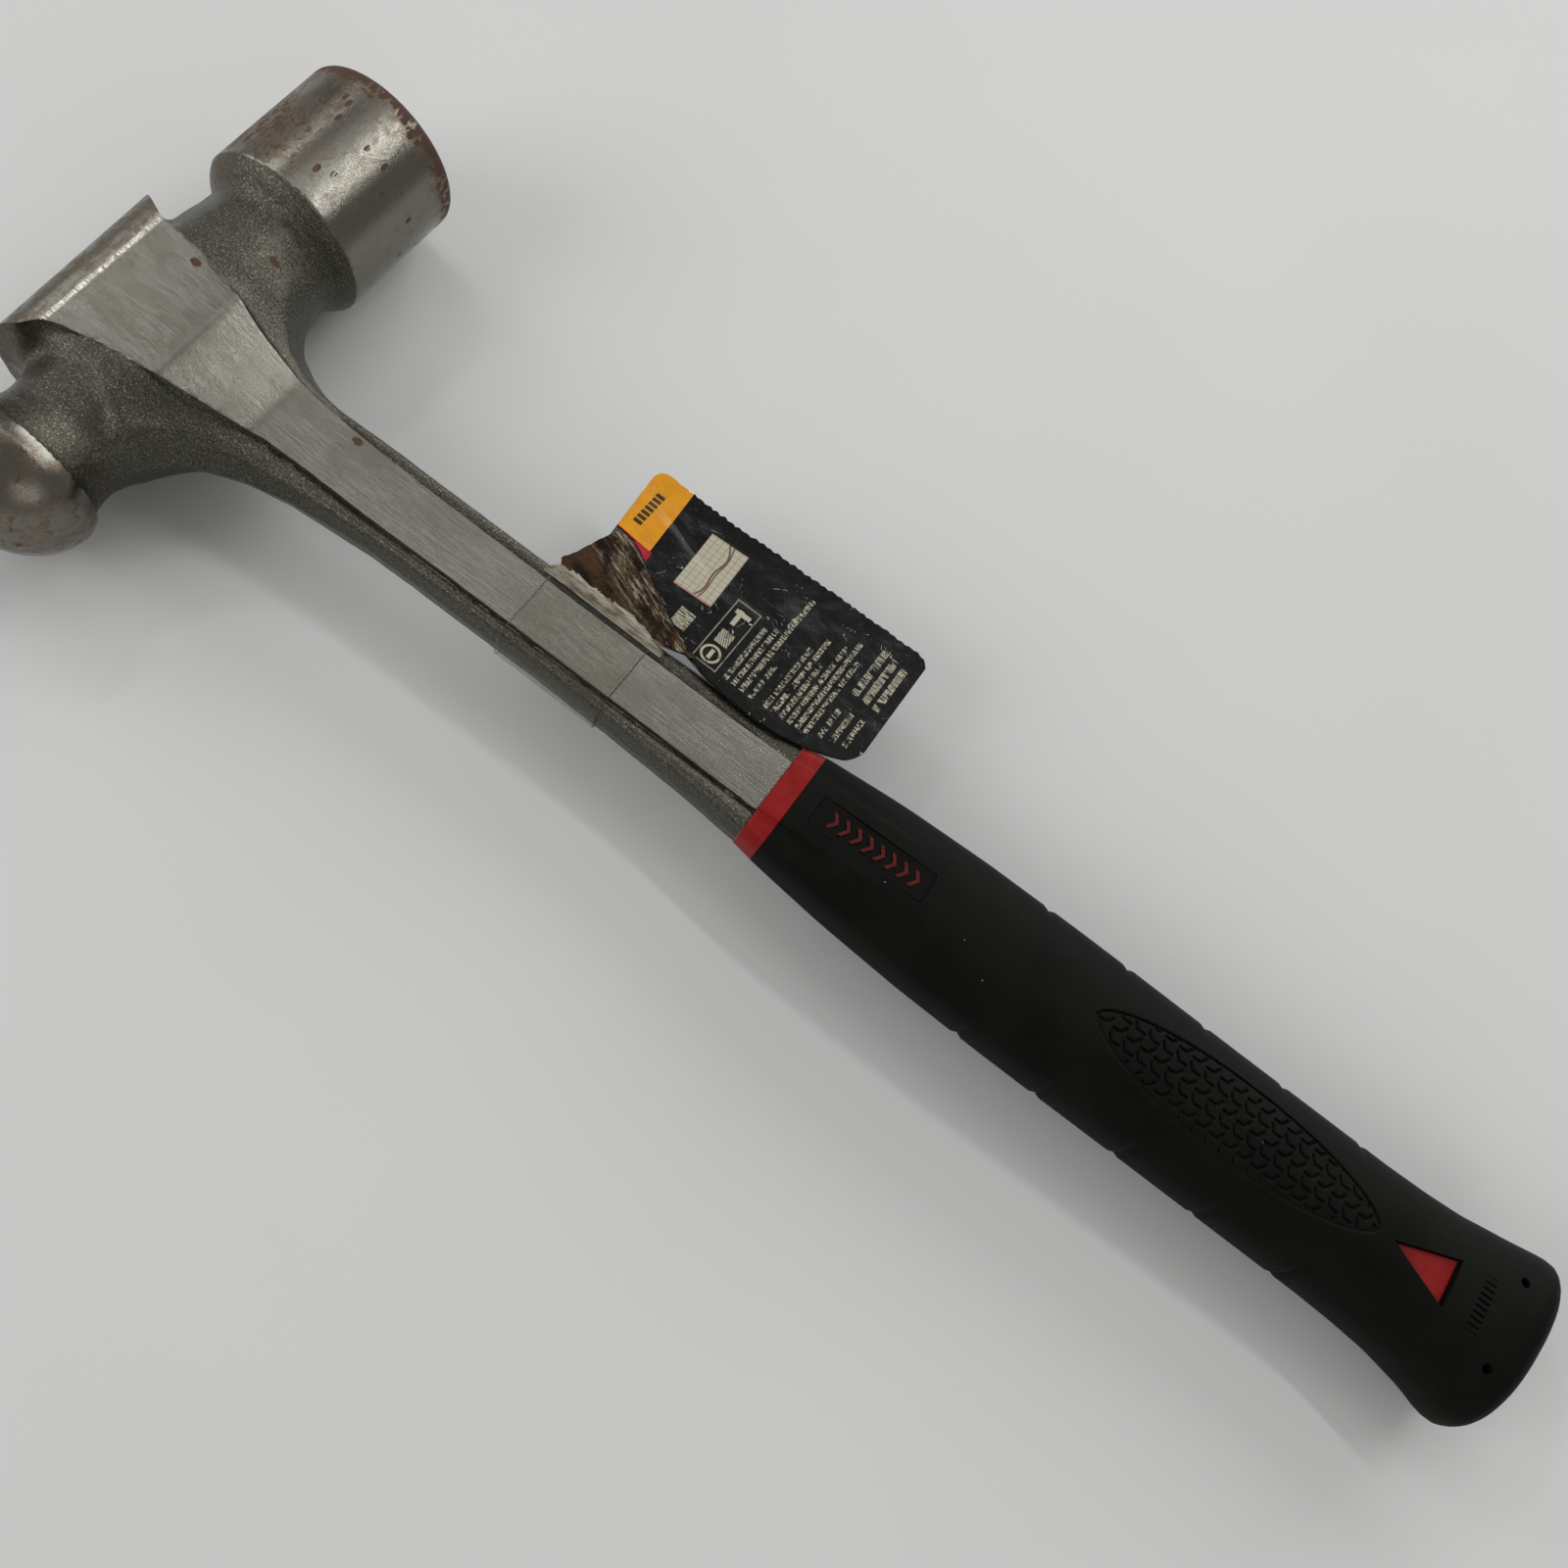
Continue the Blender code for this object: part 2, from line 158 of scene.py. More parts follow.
def add_floor():
    """A plain pale sheet that touches the poll and the underside of the butt."""
    slope = math.atan2(POLL_RADIUS - BUTT_HALF_HEIGHT, BUTT_ROUND_X)
    bpy.ops.mesh.primitive_grid_add(x_subdivisions=4, y_subdivisions=4, size=6.0)
    floor = bpy.context.object
    floor.name = "floor"
    floor.rotation_euler = (0, -slope, 0)
    floor.location = to_world((0, 0, -POLL_RADIUS - 0.05))
    paper = Shader("floor_paper")
    cloud = paper.noise(paper.mm(), 0.006, detail=3)
    paper.set("Base Color", paper.mix(cloud, (0.60, 0.605, 0.595), (0.66, 0.665, 0.655)))
    paper.set("Roughness", 0.85)
    floor.data.materials.append(paper.material)


def add_area(name, place, size, power, turn=0.0):
    """A rectangular light that faces the hammer, turned about its own axis by turn degrees."""
    data = bpy.data.lights.new(name, "AREA")
    data.shape = "RECTANGLE"
    data.size, data.size_y = size
    data.energy = power
    light = link(bpy.data.objects.new(name, data))
    aim = (-Vector(place)).to_track_quat("-Z", "Y").to_matrix().to_4x4()
    light.matrix_world = Matrix.Translation(place) @ aim @ Matrix.Rotation(math.radians(turn), 4, "Z")


def add_lights():
    """A ceiling strip, two narrow tubes, a card on the left, a wide far light and two near fills."""
    scene = bpy.context.scene
    scene.view_settings.view_transform = "Standard"
    world = bpy.data.worlds.new("studio")
    scene.world = world
    world.use_nodes = True
    background = world.node_tree.nodes["Background"]
    background.inputs["Color"].default_value = (1.0, 1.0, 0.985, 1)
    background.inputs["Strength"].default_value = 0.30
    add_area("ceiling", (-0.40, 0.60, 1.5), (1.2, 0.3), 1.75)
    add_area("tube_right", (0.55, 0.88, 1.5), (0.95, 0.045), 4.5, 18)
    add_area("tube_left", (-1.42, 0.70, 1.5), (0.5, 0.09), 2.6, 9)
    add_area("left", (-1.8, 0.2, 0.9), (0.8, 0.8), 4)
    add_area("far", (0.1, 1.9, 1.0), (2.0, 1.0), 21)
    add_area("near_left", (-1.2, -1.2, 1.0), (1.2, 1.0), 13)
    add_area("near_right", (1.3, -1.2, 1.0), (1.2, 1.0), 3)


# ---------------------------------------------------------------- node materials

class Num:
    """One socket of a node tree, with arithmetic that adds math nodes."""

    def __init__(self, shader, socket):
        self.shader = shader
        self.socket = socket

    def math(self, operation, *others):
        node = self.shader.add("ShaderNodeMath")
        node.operation = operation
        for slot, value in zip(node.inputs, (self, *others)):
            self.shader.plug(value, slot)
        return Num(self.shader, node.outputs[0])

    def __add__(self, other):
        return self.math("ADD", other)

    def __sub__(self, other):
        return self.math("SUBTRACT", other)

    def __mul__(self, other):
        return self.math("MULTIPLY", other)

    def __truediv__(self, other):
        return self.math("DIVIDE", other)

    def __gt__(self, other):
        return self.math("GREATER_THAN", other)

    def __lt__(self, other):
        return self.math("LESS_THAN", other)

    def abs(self):
        return self.math("ABSOLUTE")

    def max(self, other):
        return self.math("MAXIMUM", other)

    def min(self, other):
        return self.math("MINIMUM", other)

    def ramp(self, low, high):
        """0 below low and 1 above high, with a smooth rise between them. It falls if low is over high."""
        node = self.shader.add("ShaderNodeMapRange")
        node.interpolation_type = "SMOOTHSTEP"
        falling = low > high
        self.shader.plug(self, node.inputs["Value"])
        node.inputs["From Min"].default_value = min(low, high)
        node.inputs["From Max"].default_value = max(low, high)
        node.inputs["To Min"].default_value = float(falling)
        node.inputs["To Max"].default_value = float(not falling)
        return Num(self.shader, node.outputs[0])


class Shader:
    """A Principled material with short names for the nodes that feed it."""

    def __init__(self, name):
        self.material = bpy.data.materials.new(name)
        self.material.use_nodes = True
        self.tree = self.material.node_tree
        self.principled = self.tree.nodes["Principled BSDF"]

    def add(self, kind):
        return self.tree.nodes.new(kind)

    def plug(self, value, slot):
        """Links a socket, or sets a number or a colour."""
        if isinstance(value, Num):
            self.tree.links.new(value.socket, slot)
        elif isinstance(value, tuple) and len(slot.default_value) == 4:
            slot.default_value = (*value, 1.0)
        else:
            slot.default_value = value

    def set(self, name, value):
        self.plug(value, self.principled.inputs[name])

    def mm(self):
        """The point in the hammer's axes, in millimetres, before any joint moves it."""
        place = self.add("ShaderNodeTexCoord").outputs["Object"]
        node = self.add("ShaderNodeVectorMath")
        node.operation = "MULTIPLY_ADD"
        self.tree.links.new(place, node.inputs[0])
        node.inputs[1].default_value = (1 / MM, 1 / MM, 1 / MM)
        node.inputs[2].default_value = [-c for c in ORIGIN]
        return Num(self, node.outputs[0])

    def split(self, vector):
        node = self.add("ShaderNodeSeparateXYZ")
        self.plug(vector, node.inputs[0])
        return [Num(self, out) for out in node.outputs]

    def join(self, x, y, z):
        node = self.add("ShaderNodeCombineXYZ")
        for value, slot in zip((x, y, z), node.inputs):
            self.plug(value, slot)
        return Num(self, node.outputs[0])

    def stored(self, name):
        node = self.add("ShaderNodeAttribute")
        node.attribute_name = name
        return Num(self, node.outputs["Fac"])

    def stretch(self, vector, scale):
        node = self.add("ShaderNodeVectorMath")
        node.operation = "MULTIPLY"
        self.plug(vector, node.inputs[0])
        node.inputs[1].default_value = scale
        return Num(self, node.outputs[0])

    def noise(self, vector, scale, detail=2.0, rough=0.5, twist=0.0):
        """Noise from 0 to 1 with about scale features per millimetre."""
        node = self.add("ShaderNodeTexNoise")
        self.plug(vector, node.inputs["Vector"])
        node.inputs["Scale"].default_value = scale
        node.inputs["Detail"].default_value = detail
        node.inputs["Roughness"].default_value = rough
        node.inputs["Distortion"].default_value = twist
        return Num(self, node.outputs["Fac"])

    def cells(self, vector, scale, output="Distance"):
        node = self.add("ShaderNodeTexVoronoi")
        self.plug(vector, node.inputs["Vector"])
        node.inputs["Scale"].default_value = scale
        return Num(self, node.outputs[output])

    def mix(self, factor, first, second):
        """Between two colours."""
        node = self.add("ShaderNodeMix")
        node.data_type = "RGBA"
        self.plug(factor, node.inputs["Factor"])
        self.plug(first, node.inputs[6])
        self.plug(second, node.inputs[7])
        return Num(self, node.outputs[2])

    def blend(self, factor, first, second):
        """Between two numbers."""
        node = self.add("ShaderNodeMix")
        self.plug(factor, node.inputs[0])
        self.plug(first, node.inputs[2])
        self.plug(second, node.inputs[3])
        return Num(self, node.outputs[0])

    def bump(self, height, depth_mm):
        """A bump of the given depth for heights from 0 to 1."""
        node = self.add("ShaderNodeBump")
        node.inputs["Distance"].default_value = depth_mm * MM
        self.plug(height, node.inputs["Height"])
        return Num(self, node.outputs[0])

    def finish(self, colour, roughness, normal, specular=0.5):
        """Sets what every surface here has, and gives its material."""
        self.set("Base Color", colour)
        self.set("Roughness", roughness)
        self.set("Normal", normal)
        self.set("Specular IOR Level", specular)
        return self.material


# ---------------------------------------------------------------- surfaces from fields

def curve(knots, blur=3.0):
    """A smooth function through (x, value) knots: straight stretches with their corners rounded off."""
    step = 0.1
    xs = np.arange(knots[0][0] - 30, knots[-1][0] + 30, step)
    values = np.interp(xs, [k[0] for k in knots], [k[1] for k in knots])
    window = np.hanning(2 * int(blur / step) + 1)
    padded = np.pad(values, len(window) // 2, mode="edge")
    smooth = np.convolve(padded, window / window.sum(), mode="valid")
    return lambda x: np.interp(x, xs, smooth)


def step_up(value, low, high):
    """0 below low, 1 above high and a smooth rise between them."""
    t = np.clip((value - low) / (high - low), 0, 1)
    return t * t * (3 - 2 * t)


def smooth_min(a, b, k):
    h = np.clip(0.5 + 0.5 * (b - a) / k, 0, 1)
    return b + (a - b) * h - k * h * (1 - h)


def smooth_max(a, b, k):
    return -smooth_min(-a, -b, k)


def value_noise(x, y, z, size, seed):
    """Smooth noise from -1 to 1 with features of about the given size."""
    cells, parts = [], []
    for c in (x, y, z):
        scaled = np.asarray(c, float) / size + 1000.0
        whole = np.floor(scaled)
        cells.append(whole.astype(np.int64))
        part = scaled - whole
        parts.append(part * part * (3 - 2 * part))
    total = 0.0
    for corner in range(8):
        offset = [(corner >> axis) & 1 for axis in range(3)]
        h = seed
        weight = 1.0
        for axis in range(3):
            h = (h * 1664525 + (cells[axis] + offset[axis]) * 22695477 + 1013904223) & 0xFFFFFFFF
            h = h ^ (h >> 13)
            weight = weight * (parts[axis] if offset[axis] else 1 - parts[axis])
        total = total + weight * (h / 0x7FFFFFFF - 1.0)
    return total


def gradient(field, points, step=0.04):
    columns = []
    for axis in range(3):
        ahead, behind = points.copy(), points.copy()
        ahead[:, axis] += step
        behind[:, axis] -= step
        columns.append((field(*ahead.T) - field(*behind.T)) / (2 * step))
    return np.stack(columns, 1)


def crossing_edges(grid, axes, axis):
    """Grid edges whose ends differ in sign: their ends, the values there and the four cells round each."""
    inside = grid < 0
    low, high = [slice(1, -1)] * 3, [slice(1, -1)] * 3
    low[axis], high[axis] = slice(0, -1), slice(1, None)
    start = np.argwhere(inside[tuple(low)] != inside[tuple(high)])
    others = [a for a in range(3) if a != axis]
    start[:, others] += 1
    stop = start.copy()
    stop[:, axis] += 1
    ends = [np.stack([axes[d][index[:, d]] for d in range(3)], 1) for index in (start, stop)]
    values = [grid[tuple(index.T)].astype(float) for index in (start, stop)]
    cells = np.array([n - 1 for n in grid.shape])
    around = []
    for first, second in ((0, 0), (-1, 0), (-1, -1), (0, -1)):
        cell = start.copy()
        cell[:, others[0]] += first
        cell[:, others[1]] += second
        around.append(np.ravel_multi_index(cell.T, cells))
    around = np.stack(around, 1)
    forward = (values[0] < 0) == (axis != 1)
    return ends, values, np.where(forward[:, None], around, around[:, ::-1])


def contour(field, xs, ys, zs):
    """Points and quads of the surface where the field is 0, with its sharp edges kept (dual contouring)."""
    axes = (xs, ys, zs)
    grid = field(xs[:, None, None], ys[None, :, None], zs[None, None, :]).astype(np.float32)
    spots, normals, quads = [], [], []
    for axis in range(3):
        (low, high), (at_low, at_high), around = crossing_edges(grid, axes, axis)
        for _ in range(4):
            t = at_low / (at_low - at_high)
            spot = low + np.clip(t, 0.02, 0.98)[:, None] * (high - low)
            value = field(*spot.T)
            same = (value < 0) == (at_low < 0)
            low = np.where(same[:, None], spot, low)
            at_low = np.where(same, value, at_low)
            high = np.where(same[:, None], high, spot)
            at_high = np.where(same, at_high, value)
        spots.append(spot)
        slope = gradient(field, spot)
        normals.append(slope / np.maximum(np.linalg.norm(slope, axis=1), 1e-9)[:, None])
        quads.append(around)
    quads = np.concatenate(quads)
    cells, quads = np.unique(quads, return_inverse=True)
    quads = quads.reshape(-1, 4)
    spot = np.repeat(np.concatenate(spots), 4, 0)
    normal = np.repeat(np.concatenate(normals), 4, 0)
    owner = quads.reshape(-1)
    count = np.bincount(owner)

    def gathered(values):
        return np.stack([np.bincount(owner, column) for column in values.T], 1)

    middle = gathered(spot) / count[:, None]
    offset = ((spot - middle[owner]) * normal).sum(1)
    right = gathered(normal * offset[:, None])
    matrix = gathered((normal[:, :, None] * normal[:, None, :]).reshape(-1, 9)).reshape(-1, 3, 3)
    matrix += 0.03 * count[:, None, None] * np.eye(3)
    points = middle + np.linalg.solve(matrix, right[:, :, None])[:, :, 0]
    index = np.unravel_index(cells, [len(a) - 1 for a in axes])
    for d in range(3):
        first, last = axes[d][index[d]], axes[d][index[d] + 1]
        margin = 0.1 * (last - first)
        points[:, d] = np.clip(points[:, d], first - margin, last + margin)
    return points, quads


def mesh_object(name, points, faces, sharp_degrees=35.0):
    """An object from points in the hammer's axes."""
    mesh = bpy.data.meshes.new(name)
    mesh.from_pydata(to_world(points).tolist(), [], [list(map(int, face)) for face in faces])
    mesh.validate()
    mesh.shade_smooth()
    mesh.set_sharp_from_angle(angle=math.radians(sharp_degrees))
    return link(bpy.data.objects.new(name, mesh))


def store(obj, name, values):
    """Keeps one number per point on the mesh for its material to read."""
    layer = obj.data.attributes.new(name, "FLOAT", "POINT")
    layer.data.foreach_set("value", np.asarray(values, np.float32))


def place(piece, body, slot, material, *nodes):
    """Gives a piece its body, its finish and the CAD nodes that it stands for."""
    piece.data.materials.clear()
    piece.data.materials.append(material)
    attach(piece, body)
    if nodes:
        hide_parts(*nodes)
    return piece


# ---------------------------------------------------------------- forging

rail_plus = curve([(-23.5, 21.6), (-20, 19.8), (-17.5, 18.3), (-12.7, 16.3), (-5.5, 14.6), (2.5, 12.7),
                   (13.4, 10.6), (21.2, 9.0), (28, 8.0), (36, 7.2), (47, 6.8), (65, 6.4), (115, 6.4),
                   (176, 7.0)], 2.5)
rail_minus = curve([(-23.5, 26.6), (-19, 26.6), (-16, 25.6), (-13.2, 21.6), (-7.6, 19.2), (-1.2, 17.3),
                    (4.9, 16.1), (10.5, 15.3), (17.2, 14.3), (23.8, 12.4), (30, 10.5), (36, 8.9),
                    (47, 8.1), (65, 8.1), (90, 7.7), (150, 7.5), (176, 7.6)], 2.0)
edge_plus = curve([(-23.5, 22.2), (-12.7, 17.6), (-5, 17.6), (0, 19), (4, 22), (8, 27), (16, 27),
                   (18, 25), (19.5, 22.5), (21.4, 20.3), (25, 17.2), (31, 13.9), (36, 12.2), (43, 11.2),
                   (65, 10.9), (100, 11.2), (136, 11.6), (159, 12.6), (176, 13.4)], 2.0)
edge_minus = curve([(-23.5, 28.6), (-16, 27.8), (-12, 25), (-6, 23), (0, 23), (6, 28), (12, 32), (15, 34),
                    (16.5, 32), (20, 27.4), (25.5, 21.9), (36, 17.2), (47, 14.4), (58, 12.9), (68, 11.9),
                    (80, 11.6), (115, 11.3), (136, 11.6), (159, 12.3), (176, 13.4)], 2.0)
bead_z = curve([(-23.5, 6), (-14, 12), (0, 14.5), (6, 13.5), (12, 11.5), (18, 10), (24, 8.6), (31, 7.4),
                (43, 6.2), (65, 6.0), (150, 5.9), (176, 6.3)])
rail_z = curve([(-14.5, CHEEK_Z), (13, CHEEK_Z), (33, 9.1), (47, 7.2), (70, 6.9), (160, 6.7),
                (176, 6.9)], 2.5)
groove_depth = curve([(18, 0.0), (40, 0.4), (60, 0.55), (176, 0.55)], 4.0)
draft = curve([(-24, 0.1), (-5, 0.12), (10, 0.5), (30, 0.45), (60, 0.15), (176, 0.1)], 5.0)
steep_plus = curve([(-24, 7.0), (-8, 6.0), (10, 3.4), (25, 2.6)])
steep_minus = curve([(-24, 2.4), (0, 2.4), (25, 2.6)])
neck_radius = curve([(-46, 18.2), (-44.2, 18.6), (-43.4, 17.9), (-41.8, 16.6), (-39, 15.4), (-36, 15.0),
                     (-32.5, 15.3), (-26, 16.0), (0, 17.0), (19, 19.6), (25, 19.1), (29.3, 18.4),
                     (33, 18.1), (35.4, 18.9), (37.2, 20.5), (39.2, 22.0), (40.2, 22.2),
                     (41.2, 20.0)], 0.9)
neck_shift = curve([(-43, 0.0), (-39, 1.1), (-30, 1.1), (0, 1.2), (25, 1.1), (35, 0.9), (38.5, 0.0)], 1.5)


def neck_field(x, y, z):
    """The rough necks: a waisted eight-sided bar with soft corners, thicker on the handle's side."""
    waist = step_up(-np.abs(y), -38.5, -33)
    x, z = x - neck_shift(y), z * (1 + 0.05 * waist)
    half = math.sqrt(0.5)
    sides = (np.abs(x), np.abs(z), np.abs(x + z) * half, np.abs(x - z) * half)
    power = 18
    octagon = sum(np.maximum(side, 1e-3) ** power for side in sides) ** (1 / power)
    round_bar = np.sqrt(x * x + z * z)
    flats = 0.65 * waist
    return 0.93 * ((1 - flats) * round_bar + flats * octagon * 1.06 - neck_radius(y))


def blank_field(x, y, z):
    """The rough cheeks, flare and shank, with the beads along their edges, before grinding."""
    plus = y > 0
    rail = np.where(plus, rail_plus(x), rail_minus(x))
    edge = np.where(plus, edge_plus(x), edge_minus(x))
    steep = np.where(plus, steep_plus(x), steep_minus(x))
    out = np.abs(y) - rail
    slope = draft(x)
    wall = (np.abs(y) - edge + slope * np.abs(z)) / np.sqrt(1 + slope**2)
    hub = np.clip((40 - x) / 28, 0, 1)
    bead = bead_z(x)
    shoulder = np.maximum(rail_z(x) - 1.2 - bead, 0) * hub * np.exp(-np.maximum(out, 0) / 4.0)
    height = bead + shoulder - groove_depth(x) * np.exp(-(out**2))
    rise = rail_z(x) - steep * out
    top = smooth_max(height, rise, 0.8 + 2.0 * hub)
    lean = 1 / np.sqrt(1 + np.where(rise > height, steep, 0.25) ** 2)
    cap = (np.abs(z) - top) * np.clip(lean, 0.2, 1)
    ends = np.maximum(TOP_X - 1 - x, x - SHANK_END_X)
    return np.maximum(smooth_max(wall, cap, 1.8), ends)


def tang_field(x, y, z):
    """The plain bar inside the grip, forked at its end."""
    bar = np.maximum(np.abs(y) - TANG_HALF_WIDTH, np.abs(z) - TANG_HALF_HEIGHT)
    bar = np.maximum(bar, np.maximum(x - TANG_END_X, SHANK_END_X - 10 - x))
    slot = np.maximum(np.abs(y) - FORK_HALF_WIDTH, FORK_START_X - x)
    return np.maximum(bar, -slot)


def rough_field(x, y, z):
    """Everything that keeps its forged skin."""
    fillet = np.where(y > 0, 4.4, 6.0) + 3.0 * step_up(x, 2, 14)
    body = smooth_min(neck_field(x, y, z), blank_field(x, y, z), fillet)
    body = np.maximum(body, np.maximum(-45.5 - y, y - 40.6))
    dents = 0.05 * value_noise(x, y, z, 2.6, 5)
    return np.minimum(body + dents * (x < SHANK_END_X - 0.5), tang_field(x, y, z))


def turned_field(x, y, z):
    """The turned and polished poll and peen."""
    radius = np.sqrt(x * x + z * z)
    side = radius - (POLL_RADIUS - FACE_ROUND)
    end = y - (FACE_Y - FACE_ROUND)
    poll = np.sqrt(np.maximum(side, 0) ** 2 + np.maximum(end, 0) ** 2) + np.minimum(np.maximum(side, end), 0)
    poll = np.maximum(poll - FACE_ROUND, POLL_SHOULDER_Y - y)
    dome = np.sqrt((radius / PEEN_RADIUS) ** 2 + ((y - PEEN_EQUATOR_Y) / PEEN_DEPTH) ** 2 + 1e-9) - 1
    rim = radius - (PEEN_RADIUS - 0.16 * np.maximum(y - PEEN_EQUATOR_Y, 0) ** 1.5)
    peen = np.where(y < PEEN_EQUATOR_Y, dome * PEEN_DEPTH, rim)
    return np.minimum(poll, np.maximum(peen, y - PEEN_RIM_Y))


def ground_field(x, y, z):
    """What the grinding belt leaves of the blank: the cheeks, their slope into the rails, and the crown."""
    height = np.abs(z)
    x = x - 0.019 * np.clip(21 - y, 0, 50) * step_up(-x, 8, 16)
    run = np.minimum(x - (TOP_X + CROWN_ROUND), 0)
    rise = height - (CHEEK_Z - CROWN_ROUND)
    corner = np.where((run < 0) & (rise > 0), np.sqrt(run**2 + np.maximum(rise, 0) ** 2) - CROWN_ROUND, -50)
    crown = np.maximum(np.maximum(corner, TOP_X - x), height - CHEEK_Z)
    steep = 1 / np.sqrt(1 + np.where((x > 13) & (x < 33), 0.45, 0.1) ** 2)
    return np.where(run < 0, crown, (height - rail_z(x)) * steep) - 3.0 * np.maximum(np.abs(y) - 29, 0)


def forging_field(x, y, z):
    body = np.maximum(rough_field(x, y, z), ground_field(x, y, z))
    return np.minimum(body, turned_field(x, y, z))


def skin_value(x, y, z):
    """Above 0 on forged skin and below 0 on bare steel, and 0 on the line between them."""
    rough = rough_field(x, y, z)
    return np.minimum(rough - ground_field(x, y, z), turned_field(x, y, z) - rough)


def make_forging():
    step = 0.62
    in_sight = np.arange(TOP_X - 2 * step, SHANK_END_X + 2, step)
    xs = np.concatenate([in_sight, np.arange(SHANK_END_X + 3, TANG_END_X + 5, 2.5)])
    ys = np.arange(PEEN_TIP_Y - 2 * step, FACE_Y + 2 * step, step)
    zs = np.arange(-POLL_RADIUS - 2 * step, POLL_RADIUS + 2 * step, step)
    points, quads = contour(forging_field, xs, ys, zs)
    piece = mesh_object("hammer_forging", points, quads, 28)
    store(piece, "skin", skin_value(*points.T))
    return place(piece, HAMMER, "forged_steel", steel_material(), "forging")


# Single spots of rust on the upper cheek, the poll's neck and the shank, and a painted highlight: a bright
# line along the crown where its glint falls
RUST_SPOTS = [(0.6, 11.5), (11.2, 24.9), (51.4, 5.1)]
CROWN_GLINT_X = -12.4


def steel_material():
    """Bright ground steel, and the dark grainy skin that forging leaves, with rust in places."""
    steel = Shader("forged_and_ground_steel")
    point = steel.mm()
    x, y, z = steel.split(point)
    turned = y.abs().ramp(36, 38)
    grain = steel.noise(point, 2.2, 4, 0.7)
    skin = (steel.stored("skin") + grain * 0.14 - 0.07).ramp(-0.04, 0.04)

    belt = steel.noise(steel.join(x * 0.16, y * 3.2, z * 0.1), 1.0, 3, 0.65)
    rings = steel.noise(steel.join(x * 0.10, y * 3.6, z * 0.10), 1.0, 3, 0.65)
    lines = steel.blend(turned, belt, rings)
    cloud = steel.noise(steel.stretch(point, (0.5, 1, 1)), 0.12, 3)
    bright = steel.mix(lines.ramp(0.3, 0.7), (0.150, 0.145, 0.123), (0.215, 0.208, 0.182))
    bright = steel.mix(cloud.ramp(0.4, 0.7) * 0.6, bright, (0.135, 0.130, 0.105))
    bright = steel.mix(turned * 0.8, bright, (0.19, 0.181, 0.155))
    # Painted highlight: a pale band painted along the crown's edge where the lamp's glint falls, broken by
    # the brushed lines and kept off the turned parts
    painted_glint = (x - CROWN_GLINT_X).abs().ramp(0.95, 0.2) * lines.ramp(0.35, 0.6) * steel.blend(turned, 1.0, 0.0)
    bright = steel.mix(painted_glint, bright, (0.52, 0.50, 0.44))
    specks = grain.ramp(0.40, 0.30) * 0.5
    bright = steel.mix(specks, bright, (0.065, 0.061, 0.05))
    dark = steel.mix(grain.ramp(0.3, 0.7), (0.038, 0.036, 0.028), (0.125, 0.119, 0.096))
    glints = grain.ramp(0.58, 0.64)
    dark = steel.mix(glints, dark, (0.21, 0.20, 0.168))

    face_edge = y.ramp(67, 76) * (x * x + z * z).ramp(230, 400) * 0.34
    shoulder = y.ramp(39, 44) * y.ramp(74, 56) * x.ramp(10, -12) * 0.23
    peen = y.ramp(-42, -47) * 0.11
    wear = (face_edge + shoulder + peen) * turned
    blots = steel.noise(steel.stretch(point, (0.55, 0.3, 0.55)), 1.0, 5, 0.7, 0.6) + wear
    patches = steel.stretch(point, (0.30, 0.16, 0.30))
    flakes = steel.cells(patches, 1.0).ramp(0.25, 0.19) * (steel.cells(patches, 1.0, "Color") > 0.5)
    rust = blots.ramp(0.72, 0.76).max(flakes * y.ramp(42, 46) * blots.ramp(0.42, 0.48)) * turned
    film = blots.ramp(0.50, 0.74) * 0.6 * turned
    smear = blots.ramp(0.44, 0.60) * x.ramp(-12, -15) * 0.8
    film = film.max(smear)
    for spot_x, spot_y in RUST_SPOTS:
        along, across = x - spot_x, (y - spot_y) * 1.4
        away = along * along + across * across + grain * 5.0
        rust = rust.max(away.ramp(4.7, 4.1) * z.ramp(0, 1))
    rust_colour = steel.mix(grain, (0.024, 0.013, 0.007), (0.095, 0.045, 0.021))

    colour = steel.mix(skin, bright, dark)
    colour = steel.mix(film, colour, (0.15, 0.10, 0.065))
    colour = steel.mix(rust, colour, rust_colour)
    steel.set("Base Color", colour)
    steel.set("Metallic", steel.blend(rust, 1.0, 0.05))
    gloss = steel.blend(turned, 0.17, 0.10) + grain * 0.07
    rough = steel.blend(skin, gloss, glints * -0.10 + 0.30)
    steel.set("Roughness", steel.blend(rust.max(film * 0.6), rough, 0.75))
    pimples = steel.noise(point, 1.05, 2, 0.5)
    heights = steel.blend(skin, lines * 0.2 + grain * 0.3, grain * 1.2 + pimples * 1.1)
    steel.set("Normal", steel.bump(heights, 0.13))
    steel.set("Anisotropic", (skin * -1.0 + 1.0) * 0.35)
    steel.set("Tangent", steel.join(0.0, 1.0, 0.0))
    return steel.material


# ---------------------------------------------------------------- grip and collar

grip_half_width = curve([(176.3, 13.7), (182.6, 14.6), (205, 16.5), (228, 17.9), (251, 18.3), (344, 18.4),
                         (355, 18.8), (365, 19.5), (377, 21.6), (384, 23.3), (388, 23.9),
                         (392, 24.2)], 3.0)
grip_half_height = curve([(176.3, 8.9), (182.6, 9.9), (200, 12), (228, 13.7), (265, 15), (300, 15.2),
                          (336, 14.9), (357, 14.6), (375, 15.6), (388, 16)], 4.0)
grip_squareness = curve([(176.3, 3.4), (200, 3.2), (230, 2.6), (300, 2.3), (388, 2.4)], 5.0)
panel_relief = curve([(170, 1.0), (184, 1.0), (192, 0.7), (200, 0.35), (212, 0.0)], 2.0)
PANEL_HALF_WIDTH = 7.3
FLAT_SHARE = 0.6
NOTCHES = [244.5 + 22.9 * i for i in range(5)]


